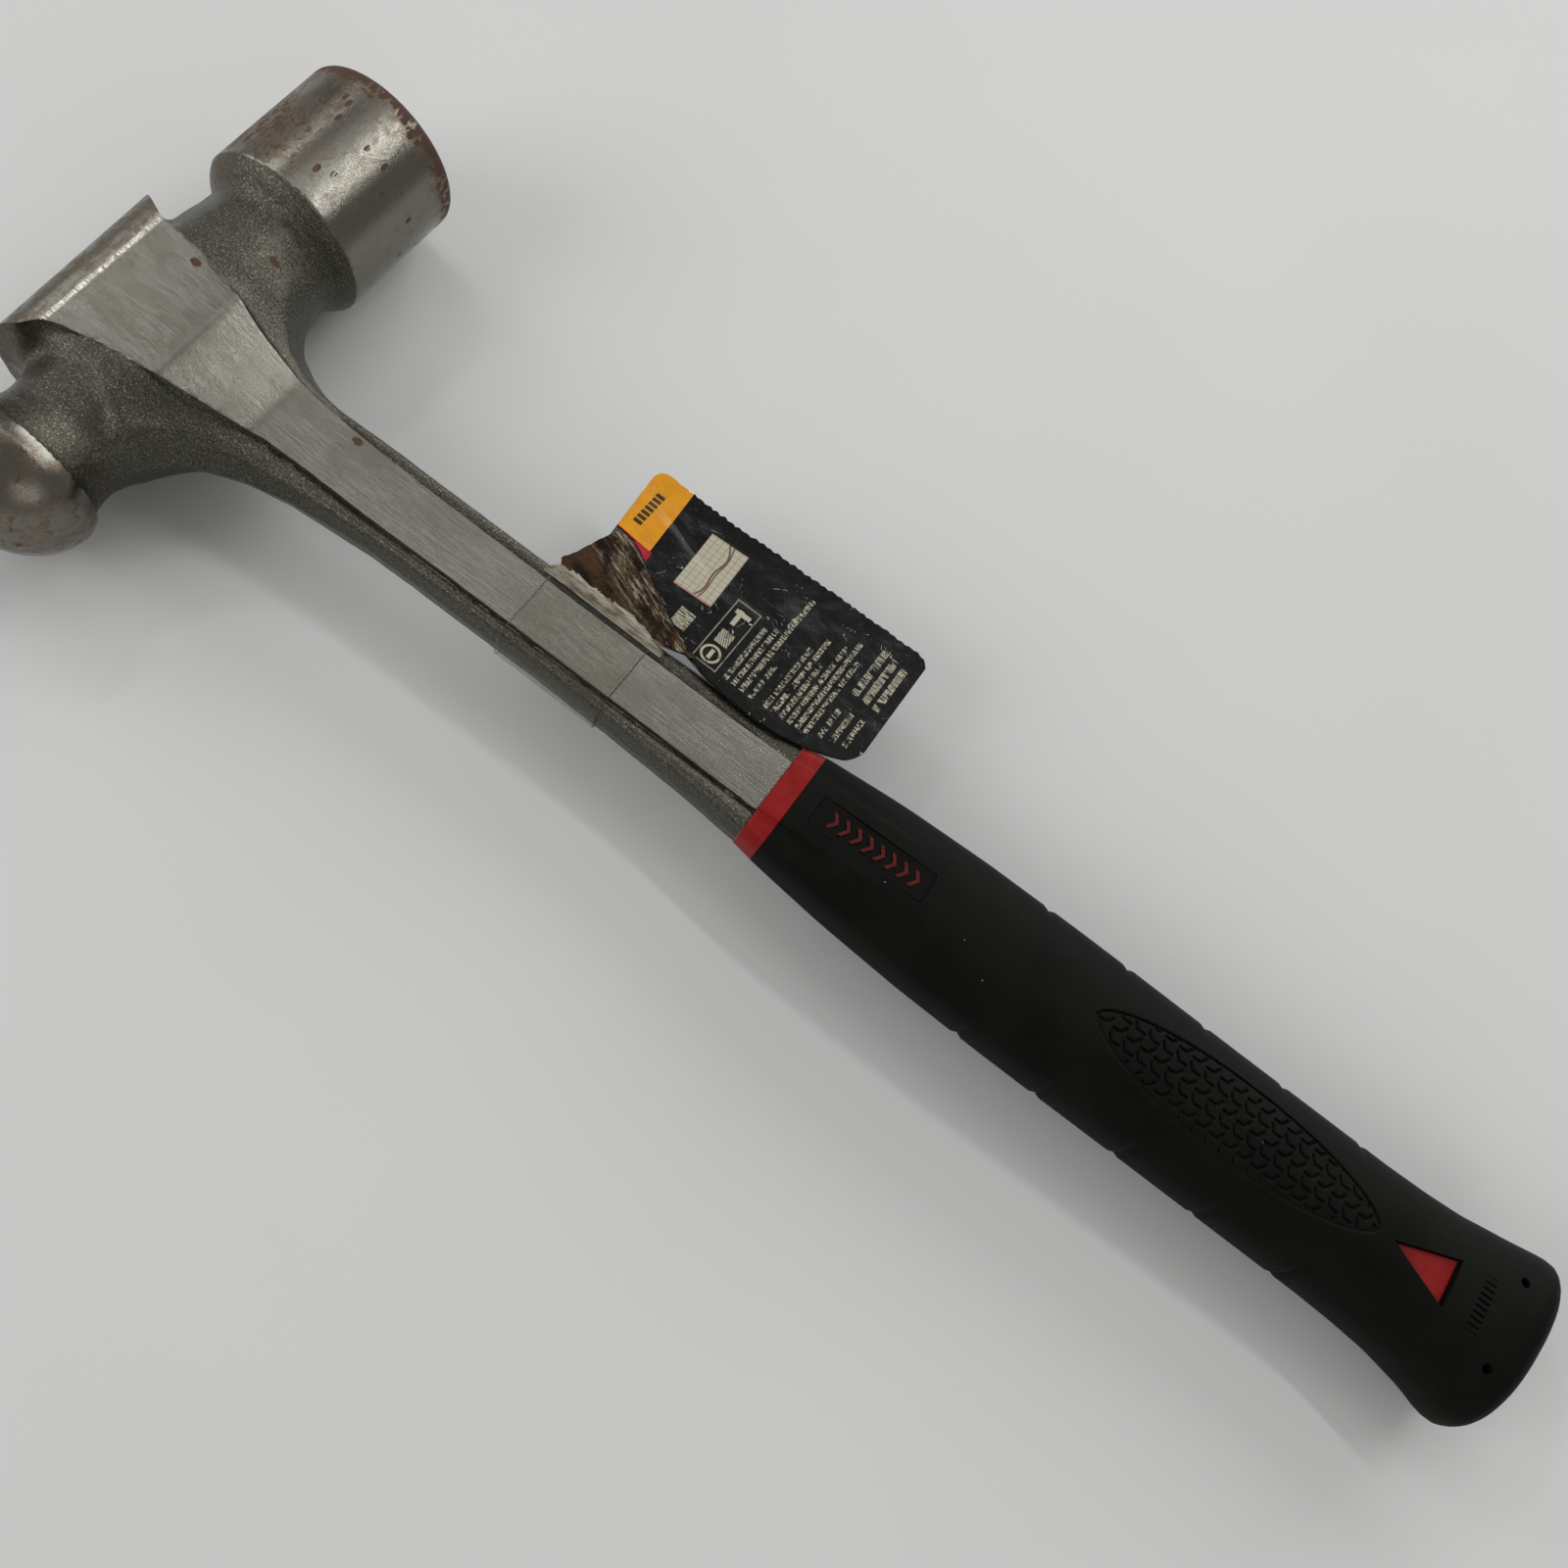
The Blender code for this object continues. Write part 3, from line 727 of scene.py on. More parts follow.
def section_point(x, share, upper, scale=1.0):
    """y and z of the grip's skin at a share of its half-width, on the upper or lower face."""
    width, height = grip_half_width(x) * scale, grip_half_height(x) * scale
    rounding = grip_squareness(x)
    y = width * share
    z = height * np.maximum(1 - np.abs(share) ** rounding, 0) ** (1 / rounding)
    side = np.abs(y)
    dip = step_up(side, PANEL_HALF_WIDTH, PANEL_HALF_WIDTH + 0.7) * step_up(-side, -12.5, -8.5)
    z = z - 0.9 * panel_relief(x) * dip * (scale == 1.0)
    return y, np.where(upper, z, -z)


def side_notch(x, share):
    """How far the grip's sides are pulled in at x: five finger notches, gone before the flat faces."""
    depth = 0.0
    for middle in NOTCHES:
        depth = depth + 0.75 * np.clip(1 - np.abs(x - middle) / 1.7, 0, 1) ** 1.2
    return depth * step_up(np.abs(share), 0.7, 0.97)


def v_cuts(x, y, turn, shift, pitch=3.87, row=6.1):
    """Depth from 0 to 1 of one lattice of short V-shaped cuts, each with its corner towards -Y."""
    u = (x - shift[0]) / pitch
    v = (y - shift[1]) / row
    u = (u - np.round(u)) * pitch
    v = (v - np.round(v)) * row
    cos, sin = math.cos(turn), math.sin(turn)
    along, across = u * cos + v * sin, -u * sin + v * cos
    bend = 0.55 * np.sqrt(along**2 + 0.04) - 0.6
    distance = np.abs(across - bend) / math.hypot(1, 0.55)
    return step_up(-distance, -0.42, -0.12) * step_up(-np.abs(along), -2.1, -1.75)


def leaf_half_width(x):
    t = np.clip((x - LEAF_X[0]) / (LEAF_X[1] - LEAF_X[0]), 0, 1)
    return LEAF_HALF_WIDTH * np.maximum(1 - (2 * t - 1) ** 2, 0) ** 0.6


def tread_depth(x, y):
    """The leaf-shaped tread: a thin cut round it and two mirrored lattices of V-shaped cuts inside."""
    ends = np.minimum(x - LEAF_X[0], LEAF_X[1] - x)
    edge = np.minimum(leaf_half_width(x) - np.abs(y), 1.3 * ends)
    outline = step_up(-np.abs(edge), -0.38, -0.12) * np.where(y > 0, 1.0, 0.4)
    cuts = v_cuts(x, y, 0.5, (271.17, 0.3)) + v_cuts(x, y, -0.45, (270.9, 3.35))
    return CUT_DEPTH * np.maximum(outline, np.minimum(cuts, 1) * step_up(edge, 0.5, 0.9))


def grip_stations():
    step = 0.3
    plain = list(np.arange(GRIP_START_X + 0.5, LEAF_X[0] - 1, 1.5))
    plain += list(np.arange(LEAF_X[1] + 1, BUTT_ROUND_X, 1.2))
    dense = list(np.arange(LEAF_X[0] - 1, LEAF_X[1] + 1, step))
    notches = [middle + offset for middle in NOTCHES for offset in (-1.7, -0.9, 0.0, 0.9, 1.7)]
    lip = [GRIP_START_X, GRIP_START_X + 0.15]
    return sorted(set(np.round(plain + dense + notches + lip, 3)))


def butt_stations():
    """(x, scale) of the rings of the convex end."""
    scales = [0.985, 0.96, 0.92, 0.87, 0.8, 0.7, 0.58, 0.44, 0.3, 0.15]
    rings = []
    for scale in scales:
        angle = math.acos(scale ** (1 / 0.45))
        rings.append((BUTT_ROUND_X + (BUTT_TIP_X - BUTT_ROUND_X) * math.sin(angle), scale))
    return rings


def ring_shares():
    """Shares of the half-width round the section, dense on the two flat faces, with which face each is on."""
    count = 76
    flat = np.linspace(FLAT_SHARE, -FLAT_SHARE, count)
    angle = np.linspace(math.acos(FLAT_SHARE**1.2), -math.acos(FLAT_SHARE**1.2), 20)[1:-1]
    side = np.cos(angle) ** (1 / 1.2)
    shares = np.concatenate([flat, -side, flat[::-1], side])
    upper = np.concatenate([np.ones(count), angle > 0, np.zeros(count), angle < 0]).astype(bool)
    return shares, upper


def grip_ring(x, scale=1.0):
    shares, upper = ring_shares()
    y, z = section_point(x, shares, upper, scale)
    y = y - np.sign(y) * side_notch(x, shares)
    if scale == 1.0:
        flat = np.abs(shares) <= FLAT_SHARE + 1e-6
        z = z - np.where(upper, 1, -1) * np.where(flat, tread_depth(x, y), 0)
    slant = BUTT_SLANT * float(step_up(x, 372, BUTT_ROUND_X))
    return np.stack([x + slant * y, y, z], 1)


def tube(rings, close_start=True, close_end=True):
    """Points and faces of a skin through rings of equal length, with its ends closed by a fan."""
    count = len(rings[0])
    points = np.concatenate(rings)
    i = np.arange(count)
    j = (i + 1) % count
    faces = []
    for r in range(len(rings) - 1):
        base = r * count
        faces.extend(np.stack([base + i, base + j, base + count + j, base + count + i], 1).tolist())
    for closed, base, forward in ((close_start, 0, False), (close_end, (len(rings) - 1) * count, True)):
        if not closed:
            continue
        middle = points[base:base + count].mean(0)
        points = np.vstack([points, middle])
        tip = len(points) - 1
        for a, b in zip(base + i, base + j):
            faces.append([int(a), int(b), tip] if forward else [int(b), int(a), tip])
    return points, faces


def prism(outline, bottom, top):
    """Points and faces of an outline of (x, y) points between two heights."""
    rings = [np.array([(x, y, z) for x, y in outline]) for z in (bottom, top)]
    return tube(rings)


def merged(*parts):
    """Several (points, faces) as one."""
    points, faces, start = [], [], 0
    for some_points, some_faces in parts:
        points.append(some_points)
        faces.extend([[int(i) + start for i in face] for face in some_faces])
        start += len(some_points)
    return np.concatenate(points), faces


def apply_modifiers(obj):
    """Swaps an object's mesh for what its modifiers make of it."""
    graph = bpy.context.evaluated_depsgraph_get()
    mesh = bpy.data.meshes.new_from_object(obj.evaluated_get(graph))
    obj.modifiers.clear()
    obj.data = mesh


def combined(obj, parts, operation, name):
    """Cuts or adds closed shapes with a Boolean, and applies it."""
    points, faces = parts
    other = mesh_object(name, points, faces)
    fix_normals(other)
    fix_normals(obj)
    modifier = obj.modifiers.new(name, "BOOLEAN")
    modifier.operation = operation
    modifier.object = other
    modifier.solver = "EXACT"
    apply_modifiers(obj)
    bpy.data.objects.remove(other)


def fix_normals(obj):
    bm = bmesh.new()
    bm.from_mesh(obj.data)
    bmesh.ops.recalc_face_normals(bm, faces=bm.faces)
    bm.to_mesh(obj.data)
    bm.free()


def box_ring(x, half_width, half_height, chamfer):
    quarter = [(half_width, half_height - chamfer), (half_width - chamfer, half_height)]
    upper = quarter + [(-y, z) for y, z in reversed(quarter)]
    ring = upper + [(y, -z) for y, z in reversed(upper)]
    return np.array([(x, y, z) for y, z in ring])


def sleeve_ring(x, offset):
    width = TANG_HALF_WIDTH + GAP + SLEEVE_WALL + offset
    height = TANG_HALF_HEIGHT + GAP + SLEEVE_WALL + offset
    return box_ring(x, width, height, 2.0)


def window_outline(inset):
    apex, base = WINDOW_X
    length = base - apex
    apex += inset * math.hypot(length, WINDOW_HALF_WIDTH) / WINDOW_HALF_WIDTH
    base -= inset
    half = (base - apex) * WINDOW_HALF_WIDTH / length
    return [(apex, 0.0), (base, half), (base, -half)]


def circle(x, y, radius, steps=24):
    angles = np.arange(steps) * 2 * math.pi / steps
    return [(x + radius * math.cos(a), y + radius * math.sin(a)) for a in angles]


def slanted_bar(x, y, length, width, lean):
    """A short bar across the handle, leaning along it."""
    half, run = length / 2, lean / 2
    return [(x - run - width / 2, y - half), (x - run + width / 2, y - half),
            (x + run + width / 2, y + half), (x + run - width / 2, y + half)]


def badge_outline(inset):
    """A long rectangle with small round corners."""
    low, high = BADGE_X[0] + inset, BADGE_X[1] - inset
    half = BADGE_HALF_WIDTH - inset
    radius = 0.8
    outline = []
    corners = ((high - radius, half - radius, 0), (low + radius, half - radius, 90),
               (low + radius, radius - half, 180), (high - radius, radius - half, 270))
    for x, y, start in corners:
        for angle in np.radians(start + np.array([0, 30, 60, 90])):
            outline.append((x + radius * math.cos(angle), y + radius * math.sin(angle)))
    return outline


def sloped(outline, side, below, above):
    """A prism that follows the slope of the grip's face, from below its surface to above it."""
    rings = []
    for offset in sorted((side * below, side * above)):
        rings.append(np.array([(x, y, side * grip_half_height(x) + offset) for x, y in outline]))
    return tube(rings)


def make_grip():
    rings = [grip_ring(x) for x in grip_stations()] + [grip_ring(x, scale) for x, scale in butt_stations()]
    piece = mesh_object("rubber_grip", *tube(rings), 40)
    cuts = [tube([sleeve_ring(x, GAP - 0.5) for x in (GRIP_START_X - 3, SLEEVE_END_X + GAP)])]
    for side in (1, -1):
        cuts.append(prism(window_outline(0), *sorted((side * WINDOW_FLOOR, side * CUT_TOP))))
        cuts.append(sloped(badge_outline(0), side, -CUT_DEPTH, 2.0))
        for pin_side in (1, -1):
            hole = circle(PIN_PLACE[0], pin_side * PIN_PLACE[1], PIN_RADIUS)
            cuts.append(prism(hole, *sorted((side * PIN_FLOOR, side * CUT_TOP))))
        for i in range(MARK_COUNT):
            bar = slanted_bar(MARK_X, MARK_START_Y + MARK_STEP * i, *MARK_SIZE)
            cuts.append(sloped(bar, side, -CUT_DEPTH, 1.0))
    combined(piece, merged(*cuts), "DIFFERENCE", "grip_cuts")
    piece.data.shade_smooth()
    piece.data.set_sharp_from_angle(angle=math.radians(38))
    return place(piece, HAMMER, "black_rubber", rubber_material(), "outer_grip")


def make_sleeve():
    """Red nylon: the collar at the front, and the triangles that show through the grip."""
    back = GRIP_START_X - 0.05
    stations = [COLLAR_START_X, COLLAR_START_X + 0.25, COLLAR_START_X + 1.5, 179, 181, back - 0.1, back]
    insets = [0.22, 0.03, 0, 0, 0, 0, 0.1]
    rings = []
    for x, inset in zip(stations, insets):
        ring = grip_ring(x)
        ring[:, 1:] *= 1 - inset / 12
        rings.append(ring)
    piece = mesh_object("red_sleeve", *tube(rings))
    combined(piece, tube([sleeve_ring(x, -0.5) for x in (back - 2, SLEEVE_END_X)]), "UNION", "sleeve_body")
    top = float(grip_half_height(WINDOW_X[1])) - WINDOW_RECESS
    base = TANG_HALF_HEIGHT + 1
    bosses = [prism(window_outline(GAP), *sorted((side * base, side * top))) for side in (1, -1)]
    combined(piece, merged(*bosses), "UNION", "window_bosses")
    cavity = [box_ring(x, TANG_HALF_WIDTH + GAP, TANG_HALF_HEIGHT + GAP, 1.2)
              for x in (COLLAR_START_X - 3, TANG_END_X + GAP)]
    combined(piece, tube(cavity), "DIFFERENCE", "sleeve_cavity")
    piece.data.shade_smooth()
    piece.data.set_sharp_from_angle(angle=math.radians(30))
    return place(piece, HAMMER, "red_plastic", nylon_material(), "inner_sleeve")


def make_badge(name, side, node):
    """A plate let into the grip, with a row of raised red chevrons on it."""
    plate = mesh_object(name, *sloped(badge_outline(GAP / 2), side, -0.5, -0.04), 30)
    fix_normals(plate)
    place(plate, HAMMER, "badge_plastic", badge_material(), node)
    bars = []
    for i in range(CHEVRON_COUNT):
        x = BADGE_X[0] + 4.4 + i * CHEVRON_STEP
        for half in (1, -1):
            arm = [(x - 0.5, half * 2.1), (x + 0.5, half * 2.1), (x + 1.9, 0.0), (x + 0.9, 0.0)]
            bars.append(sloped(arm, side, -0.1, 0.02))
    marks = mesh_object(f"{name}_chevrons", *merged(*bars), 30)
    fix_normals(marks)
    place(marks, HAMMER, "red_plastic", red_paint_material())


def rubber_material():
    rubber = Shader("grip_rubber")
    point = rubber.mm()
    cloud = rubber.noise(point, 0.05, 4, 0.6)
    colour = rubber.mix(cloud.ramp(0.35, 0.65), (0.0022, 0.0024, 0.0016), (0.0042, 0.0044, 0.0031))
    dust = rubber.cells(point, 0.22).ramp(0.055, 0.03)
    some = rubber.cells(point, 0.22, "Color") > 0.72
    smear = rubber.noise(rubber.stretch(point, (0.6, 1.0, 1.0)), 0.25, 4, 0.7).ramp(0.62, 0.8)
    colour = rubber.mix(smear * 0.25, colour, (0.020, 0.019, 0.015))
    colour = rubber.mix(dust * some * 0.5, colour, (0.25, 0.25, 0.24))
    fine = rubber.noise(point, 3.5, 3, 0.6)
    return rubber.finish(colour, rubber.blend(cloud, 0.5, 0.66), rubber.bump(fine, 0.035), 0.08)


def nylon_material():
    nylon = Shader("red_nylon")
    point = nylon.mm()
    cloud = nylon.noise(point, 0.25, 4)
    colour = nylon.mix(cloud.ramp(0.3, 0.7), (0.200, 0.006, 0.005), (0.245, 0.010, 0.009))
    rough = nylon.blend(nylon.noise(point, 1.0, 3), 0.32, 0.5)
    return nylon.finish(colour, rough, nylon.bump(nylon.noise(point, 2.2, 3), 0.02), 0.12)


def badge_material():
    plastic = Shader("badge_plastic")
    point = plastic.mm()
    cloud = plastic.noise(point, 0.8, 4)
    colour = plastic.mix(cloud, (0.0026, 0.0028, 0.0025), (0.0045, 0.0047, 0.0042))
    relief = plastic.bump(plastic.noise(point, 3.0, 2), 0.01)
    return plastic.finish(colour, plastic.blend(cloud, 0.5, 0.65), relief, 0.06)


def red_paint_material():
    paint = Shader("red_paint")
    worn = paint.noise(paint.mm(), 1.1, 4, 0.7)
    colour = paint.mix(worn.ramp(0.4, 0.7), (0.095, 0.010, 0.007), (0.05, 0.007, 0.005))
    return paint.finish(colour, paint.blend(worn, 0.4, 0.6), paint.bump(worn, 0.015), 0.1)


# ---------------------------------------------------------------- label

flag_inner = curve([(107, 21.0), (113, 20.2), (118.6, 17.4), (125, 13.2), (135, 7.6), (141, 4.2),
                    (147, 1.9), (154, 0.9), (162, 0.6), (170, 1.2), (177, 3.0), (182, 4.9), (185.5, 6.8),
                    (187.3, 9.2), (188.2, 12.0)], 0.8)
flag_outer = curve([(107, 38.2), (107.4, 39.6), (108.6, 41.2), (110.4, 41.6), (130, 41.4), (160, 43.1),
                    (184.4, 44.2), (186.6, 43.5), (187.8, 42.2), (188.2, 41.0)], 0.5)
whole_inner = curve([(105.5, 0.4), (133, 0.4), (141, 3.2), (147, 1.7), (154, 0.8), (162, 0.5), (170, 1.2),
                     (177, 3.0), (182, 4.9), (185.5, 6.8), (187.3, 9.2), (188.2, 12.0)], 0.8)
whole_outer = curve([(105.5, 5.0), (107, 36.0), (107.4, 38.6), (108.6, 40.6), (110.4, 41.1), (130, 41.0),
                     (160, 42.7), (184.4, 43.8), (186.6, 43.1), (187.8, 41.8), (188.2, 40.6)], 0.5)
torn_inner = curve([(104.6, 3.6), (106, 1.2), (112, 0.9), (128, 0.9), (138, 2.4), (143.5, 3.6)], 0.8)
torn_outer = curve([(104.6, 4.2), (106.5, 8.5), (107.8, 13.5), (109.5, 18.9), (112.9, 19.9),
                    (118.6, 17.1), (125, 12.9), (135, 7.3), (141, 4.1), (143.5, 3.9)], 0.8)


def card_bend(x, s):
    """How far the card stands off its flat plane: a slow curl, soft dents and a creased corner."""
    curl = 0.35 * np.sin((x - 110) / 26.0) * step_up(s, 4, 40) + 0.5 * step_up(s, 36, 45)
    dents = 0.16 * value_noise(x, s, 0 * x, 7.0, 3) + 0.05 * value_noise(x, s, 0 * x, 2.6, 8)
    crease = 0.30 * np.exp(-(((s - 27 + 0.35 * (x - 130)) / 1.1) ** 2)) * step_up(-np.abs(x - 124), -12, -4)
    return (curl + dents - crease) * step_up(s, 1, 9)


def on_flag(x, s, lift):
    """A point on the label, lifted off its plane, in the hammer's axes."""
    cos, sin = math.cos(FLAG_DROOP), math.sin(FLAG_DROOP)
    y = HINGE_Y + s * cos + lift * sin
    z = HINGE_Z - s * sin + lift * cos
    return np.stack([np.broadcast_to(x, y.shape), y, z], -1)


def quads_between(*corners):
    """Faces as lists, from four matching arrays of point numbers."""
    return np.stack([corner.reshape(-1) for corner in corners], 1).tolist()


def sheet_solid(xs, inner, outer, rows, lift, thickness, ragged=0.0, slant=1.0):
    """A thin closed sheet between two edges, as points, faces, and each point's place on the label."""
    x = xs[:, None]
    t = np.linspace(0, 1, rows)[None, :]
    s = inner(x) * (1 - t) + outer(x) * t
    s = s + ragged * value_noise(x, 0 * x + 3.0, 0 * x, 0.7, 4) * (t**6 - (1 - t) ** 6)
    x = x + 0.094 * (38.2 - s) * slant * np.clip((xs[0] + 15 - x) / 15, 0, 1)
    high = on_flag(x, s, lift(x, s) + thickness)
    low = on_flag(x, s, lift(x, s))
    columns = len(xs)
    index = np.arange(columns * rows).reshape(columns, rows)
    under = index + columns * rows
    faces = quads_between(index[:-1, :-1], index[1:, :-1], index[1:, 1:], index[:-1, 1:])
    faces += quads_between(under[:-1, :-1], under[:-1, 1:], under[1:, 1:], under[1:, :-1])
    faces += quads_between(index[:-1, 0], under[:-1, 0], under[1:, 0], index[1:, 0])
    faces += quads_between(index[1:, -1], under[1:, -1], under[:-1, -1], index[:-1, -1])
    faces += quads_between(index[0, 1:], under[0, 1:], under[0, :-1], index[0, :-1])
    faces += quads_between(index[-1, :-1], under[-1, :-1], under[-1, 1:], index[-1, 1:])
    points = np.concatenate([high.reshape(-1, 3), low.reshape(-1, 3)])
    flat = np.stack([np.broadcast_to(x, s.shape), s], -1).reshape(-1, 2)
    return points, faces, np.concatenate([flat, flat])


def scalloped(edge, depth):
    """An edge nibbled into small waves, which die out at the label's corners."""
    def nibbled(x):
        waves = np.abs(np.sin((x - FLAG_X[0]) * math.pi / SCALLOP)) - 1
        return edge(x) + depth * waves * step_up(-np.abs(x - 148), -38, -34)

    return nibbled


def flag_piece(name, sheet, sharp=40):
    points, faces, flat = sheet
    piece = mesh_object(name, points, faces, sharp)
    store(piece, "card_x", flat[:, 0])
    store(piece, "card_s", flat[:, 1])
    return piece


def front_lift(x, s):
    return card_bend(x, s) + PLY_GAP / 2


def back_lift(x, s):
    return card_bend(x, s) - PLY_GAP / 2 - PLY


def make_label():
    step = 0.45
    xs = np.arange(FLAG_X[0], FLAG_X[1] + 0.01, step)
    rows = int(44 / step)
    front = sheet_solid(xs, flag_inner, scalloped(flag_outer, 0.35), rows, front_lift, PLY, 0.25)
    place(flag_piece("label_printed_ply", front), FLAG, "printed_label", print_material(), "label_front_ply")
    back_xs = np.arange(106.9, FLAG_X[1] + 0.01, step)
    back = sheet_solid(back_xs, whole_inner, scalloped(whole_outer, 0.35), rows, back_lift, PLY)
    place(flag_piece("label_rear_ply", back), FLAG, "label_card", rear_card_material(), "label_back_ply")
    torn_xs = np.arange(*TORN_X, 0.22)
    torn = sheet_solid(torn_xs, torn_inner, torn_outer, 110, torn_lift, 0.16, 0.5, 0.0)
    place(flag_piece("label_torn_paper", torn, 60), FLAG, "torn_paper", kraft_material(), "label_torn_ply")


def torn_lift(x, s):
    """Crumpled paper: long folds that run with the tear, with fibres standing up between them."""
    run = (x - 107) * 0.93 - s * 0.37
    over = (x - 107) * 0.37 + s * 0.93
    folds = 0.55 * np.abs(value_noise(run * 0.25, over, 0 * x, 2.3, 12))
    long_fibres = 0.28 * np.abs(value_noise(run * 0.5, over, 0 * x, 0.8, 15))
    fibres = long_fibres + 0.12 * value_noise(x, s, 0 * x, 0.5, 21)
    return front_lift(x, s) + 0.05 + (folds + fibres) * step_up(s, 0.5, 3)


def film_ring(x, offset):
    """The film's taut path round the rails and the outer corners of the beads."""
    quarter = [(FILM_HALF_WIDTH, 0.0), (11.87, 2.0), (11.7, 4.0), (11.4, 5.0), (10.8, 5.8), (9.8, 6.5),
               (8.3, 7.02), (7.4, 7.08), (5.0, 7.09), (2.5, FILM_HALF_HEIGHT), (0.0, FILM_HALF_HEIGHT)]
    upper = quarter + [(-y, z) for y, z in reversed(quarter[:-1])]
    ring = upper + [(y, -z) for y, z in reversed(upper[1:-1])]
    made = []
    for y, z in ring:
        length = math.hypot(y / FILM_HALF_WIDTH, z / FILM_HALF_HEIGHT)
        out_y, out_z = offset * y / FILM_HALF_WIDTH / length, offset * z / FILM_HALF_HEIGHT / length
        made.append((x, y + out_y, z + out_z))
    return np.array(made)


def make_film():
    """The clear sleeve shrunk round the shank that the label hangs from."""
    start, end = BAND_X
    middle = list(np.arange(start + 6, end - 3, 3.0))
    xs = [start + 0.6, start + 0.9, start + 3] + middle + [end - 0.6, end - 0.2]
    outside = [film_ring(x, 0.16 + 0.03 * math.sin(x * 0.9)) for x in xs]
    inside = [film_ring(x, 0.06) for x in xs]
    rings = outside + inside[::-1]
    points, faces = tube(rings + [rings[0]], False, False)
    count = len(rings[0])
    total = len(rings) * count
    faces = [[i % total for i in face] for face in faces]
    piece = mesh_object("label_film_band", points[:total], faces)
    fix_normals(piece)
    return place(piece, HAMMER, "clear_film", film_material(), "label_band")


def make_web():
    """The torn edge of the film, pleated between the band and the label's fold."""
    xs = np.arange(*WEB_X, 0.25)
    x = xs[:, None]
    t = np.linspace(0, 1, 26)[None, :]
    y0, z0 = 7.6, 7.35
    end = on_flag(x, 2.6 + 0.5 * value_noise(x, 0 * x, 0 * x, 2.0, 31), 0.5 + 0 * x)
    taper = step_up(x, WEB_X[0], 106.5) * step_up(-x, -WEB_X[1], -127)
    y = y0 + (end[..., 1] - y0) * t * (0.35 + 0.65 * taper)
    z = z0 + (end[..., 2] - z0) * t + (0.55 * np.sin(t * math.pi) + 0.1) * taper
    pleats = 0.16 * value_noise(x * 0.35, t * 9, 0 * x, 1.0, 41)
    pleats = pleats + 0.06 * value_noise(x, t * 20, 0 * x, 1.0, 43)
    z = z + np.abs(pleats) * np.sin(t * math.pi) ** 0.5
    high = np.stack([np.broadcast_to(x, y.shape), y, z], -1).reshape(-1, 3)
    columns, rows = y.shape
    index = np.arange(columns * rows).reshape(columns, rows)
    quads = quads_between(index[:-1, :-1], index[1:, :-1], index[1:, 1:], index[:-1, 1:])
    piece = mesh_object("label_torn_film", high, quads, 60)
    solid = piece.modifiers.new("thickness", "SOLIDIFY")
    solid.thickness = 0.08 * MM
    solid.offset = -1.0
    apply_modifiers(piece)
    piece.data.materials.clear()
    piece.data.materials.append(torn_film_material())
    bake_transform(piece)


CREAM = (0.42, 0.39, 0.29)
CHART_PLACE = (127.7, 17.2)
TEAR_X = 107
RED_END_S = 21.2


def band(value, low, high, soft=0.06):
    """1 between low and high, and 0 outside them."""
    return value.ramp(low - soft, low + soft) * value.ramp(high + soft, high - soft)


def patch(x, s, x0, x1, s0, s1):
    return band(x, x0, x1) * band(s, s0, s1)


def any_of(masks):
    """Where one mask or another is 1."""
    total = masks[0]
    for mask in masks[1:]:
        total = total.max(mask)
    return total


def add_chart(card, x, s, colour):
    """Prints a leaning chart over a colour: a grid, two wavy traces and a coloured rim."""
    chart_x, chart_s = CHART_PLACE
    u = (x - chart_x) + (s - chart_s) * 0.04
    v = s - chart_s - (x - chart_x) * 0.07
    lines_u = ((u / 1.75).math("FRACT") - 0.5).abs().ramp(0.44, 0.49)
    lines_v = ((v / 1.62).math("FRACT") - 0.5).abs().ramp(0.44, 0.49)
    wave = (v * 0.55).math("SINE") * 0.55 + (v * 0.16).math("SINE") * 1.6
    trace = (u - wave - 5.2).abs().ramp(0.34, 0.18)
    trace = trace.max((u - wave * 0.5 - 6.4).abs().ramp(0.26, 0.12))
    rim = (v < 0.55).max(u < 0.0)
    chart = card.mix(lines_u.max(lines_v) * 0.75, CREAM, (0.10, 0.085, 0.07))
    chart = card.mix(trace, chart, (0.13, 0.065, 0.055))
    chart = card.mix(rim, chart, (0.36, 0.18, 0.17))
    return card.mix(patch(u, v, 0, 10.6, 0, 18.2), colour, chart)


def printed_signs(x, s):
    """Three plain signs in a thin frame."""
    frame_box = patch(x, s, 142.1, 149.0, 4.2, 24.8)
    frame_line = frame_box - patch(x, s, 142.4, 148.7, 4.5, 24.5)
    ring = ((x - 145.4) * (x - 145.4) + (s - 7.6) * (s - 7.6)).math("SQRT")
    hatching = (x * 1.6 + s * 0.7).math("FRACT") > 0.3
    signs = any_of([
        band(ring, 2.0, 2.6),
        patch(x, s, 144.9, 145.9, 6.2, 9.0),
        patch(x, s, 143.8, 147.4, 11.2, 15.4) * hatching,
        patch(x, s, 144.2, 145.4, 17.6, 22.6),
        patch(x, s, 143.4, 147.6, 21.0, 22.4),
    ])
    return (signs * frame_box).max(frame_line * 0.6)


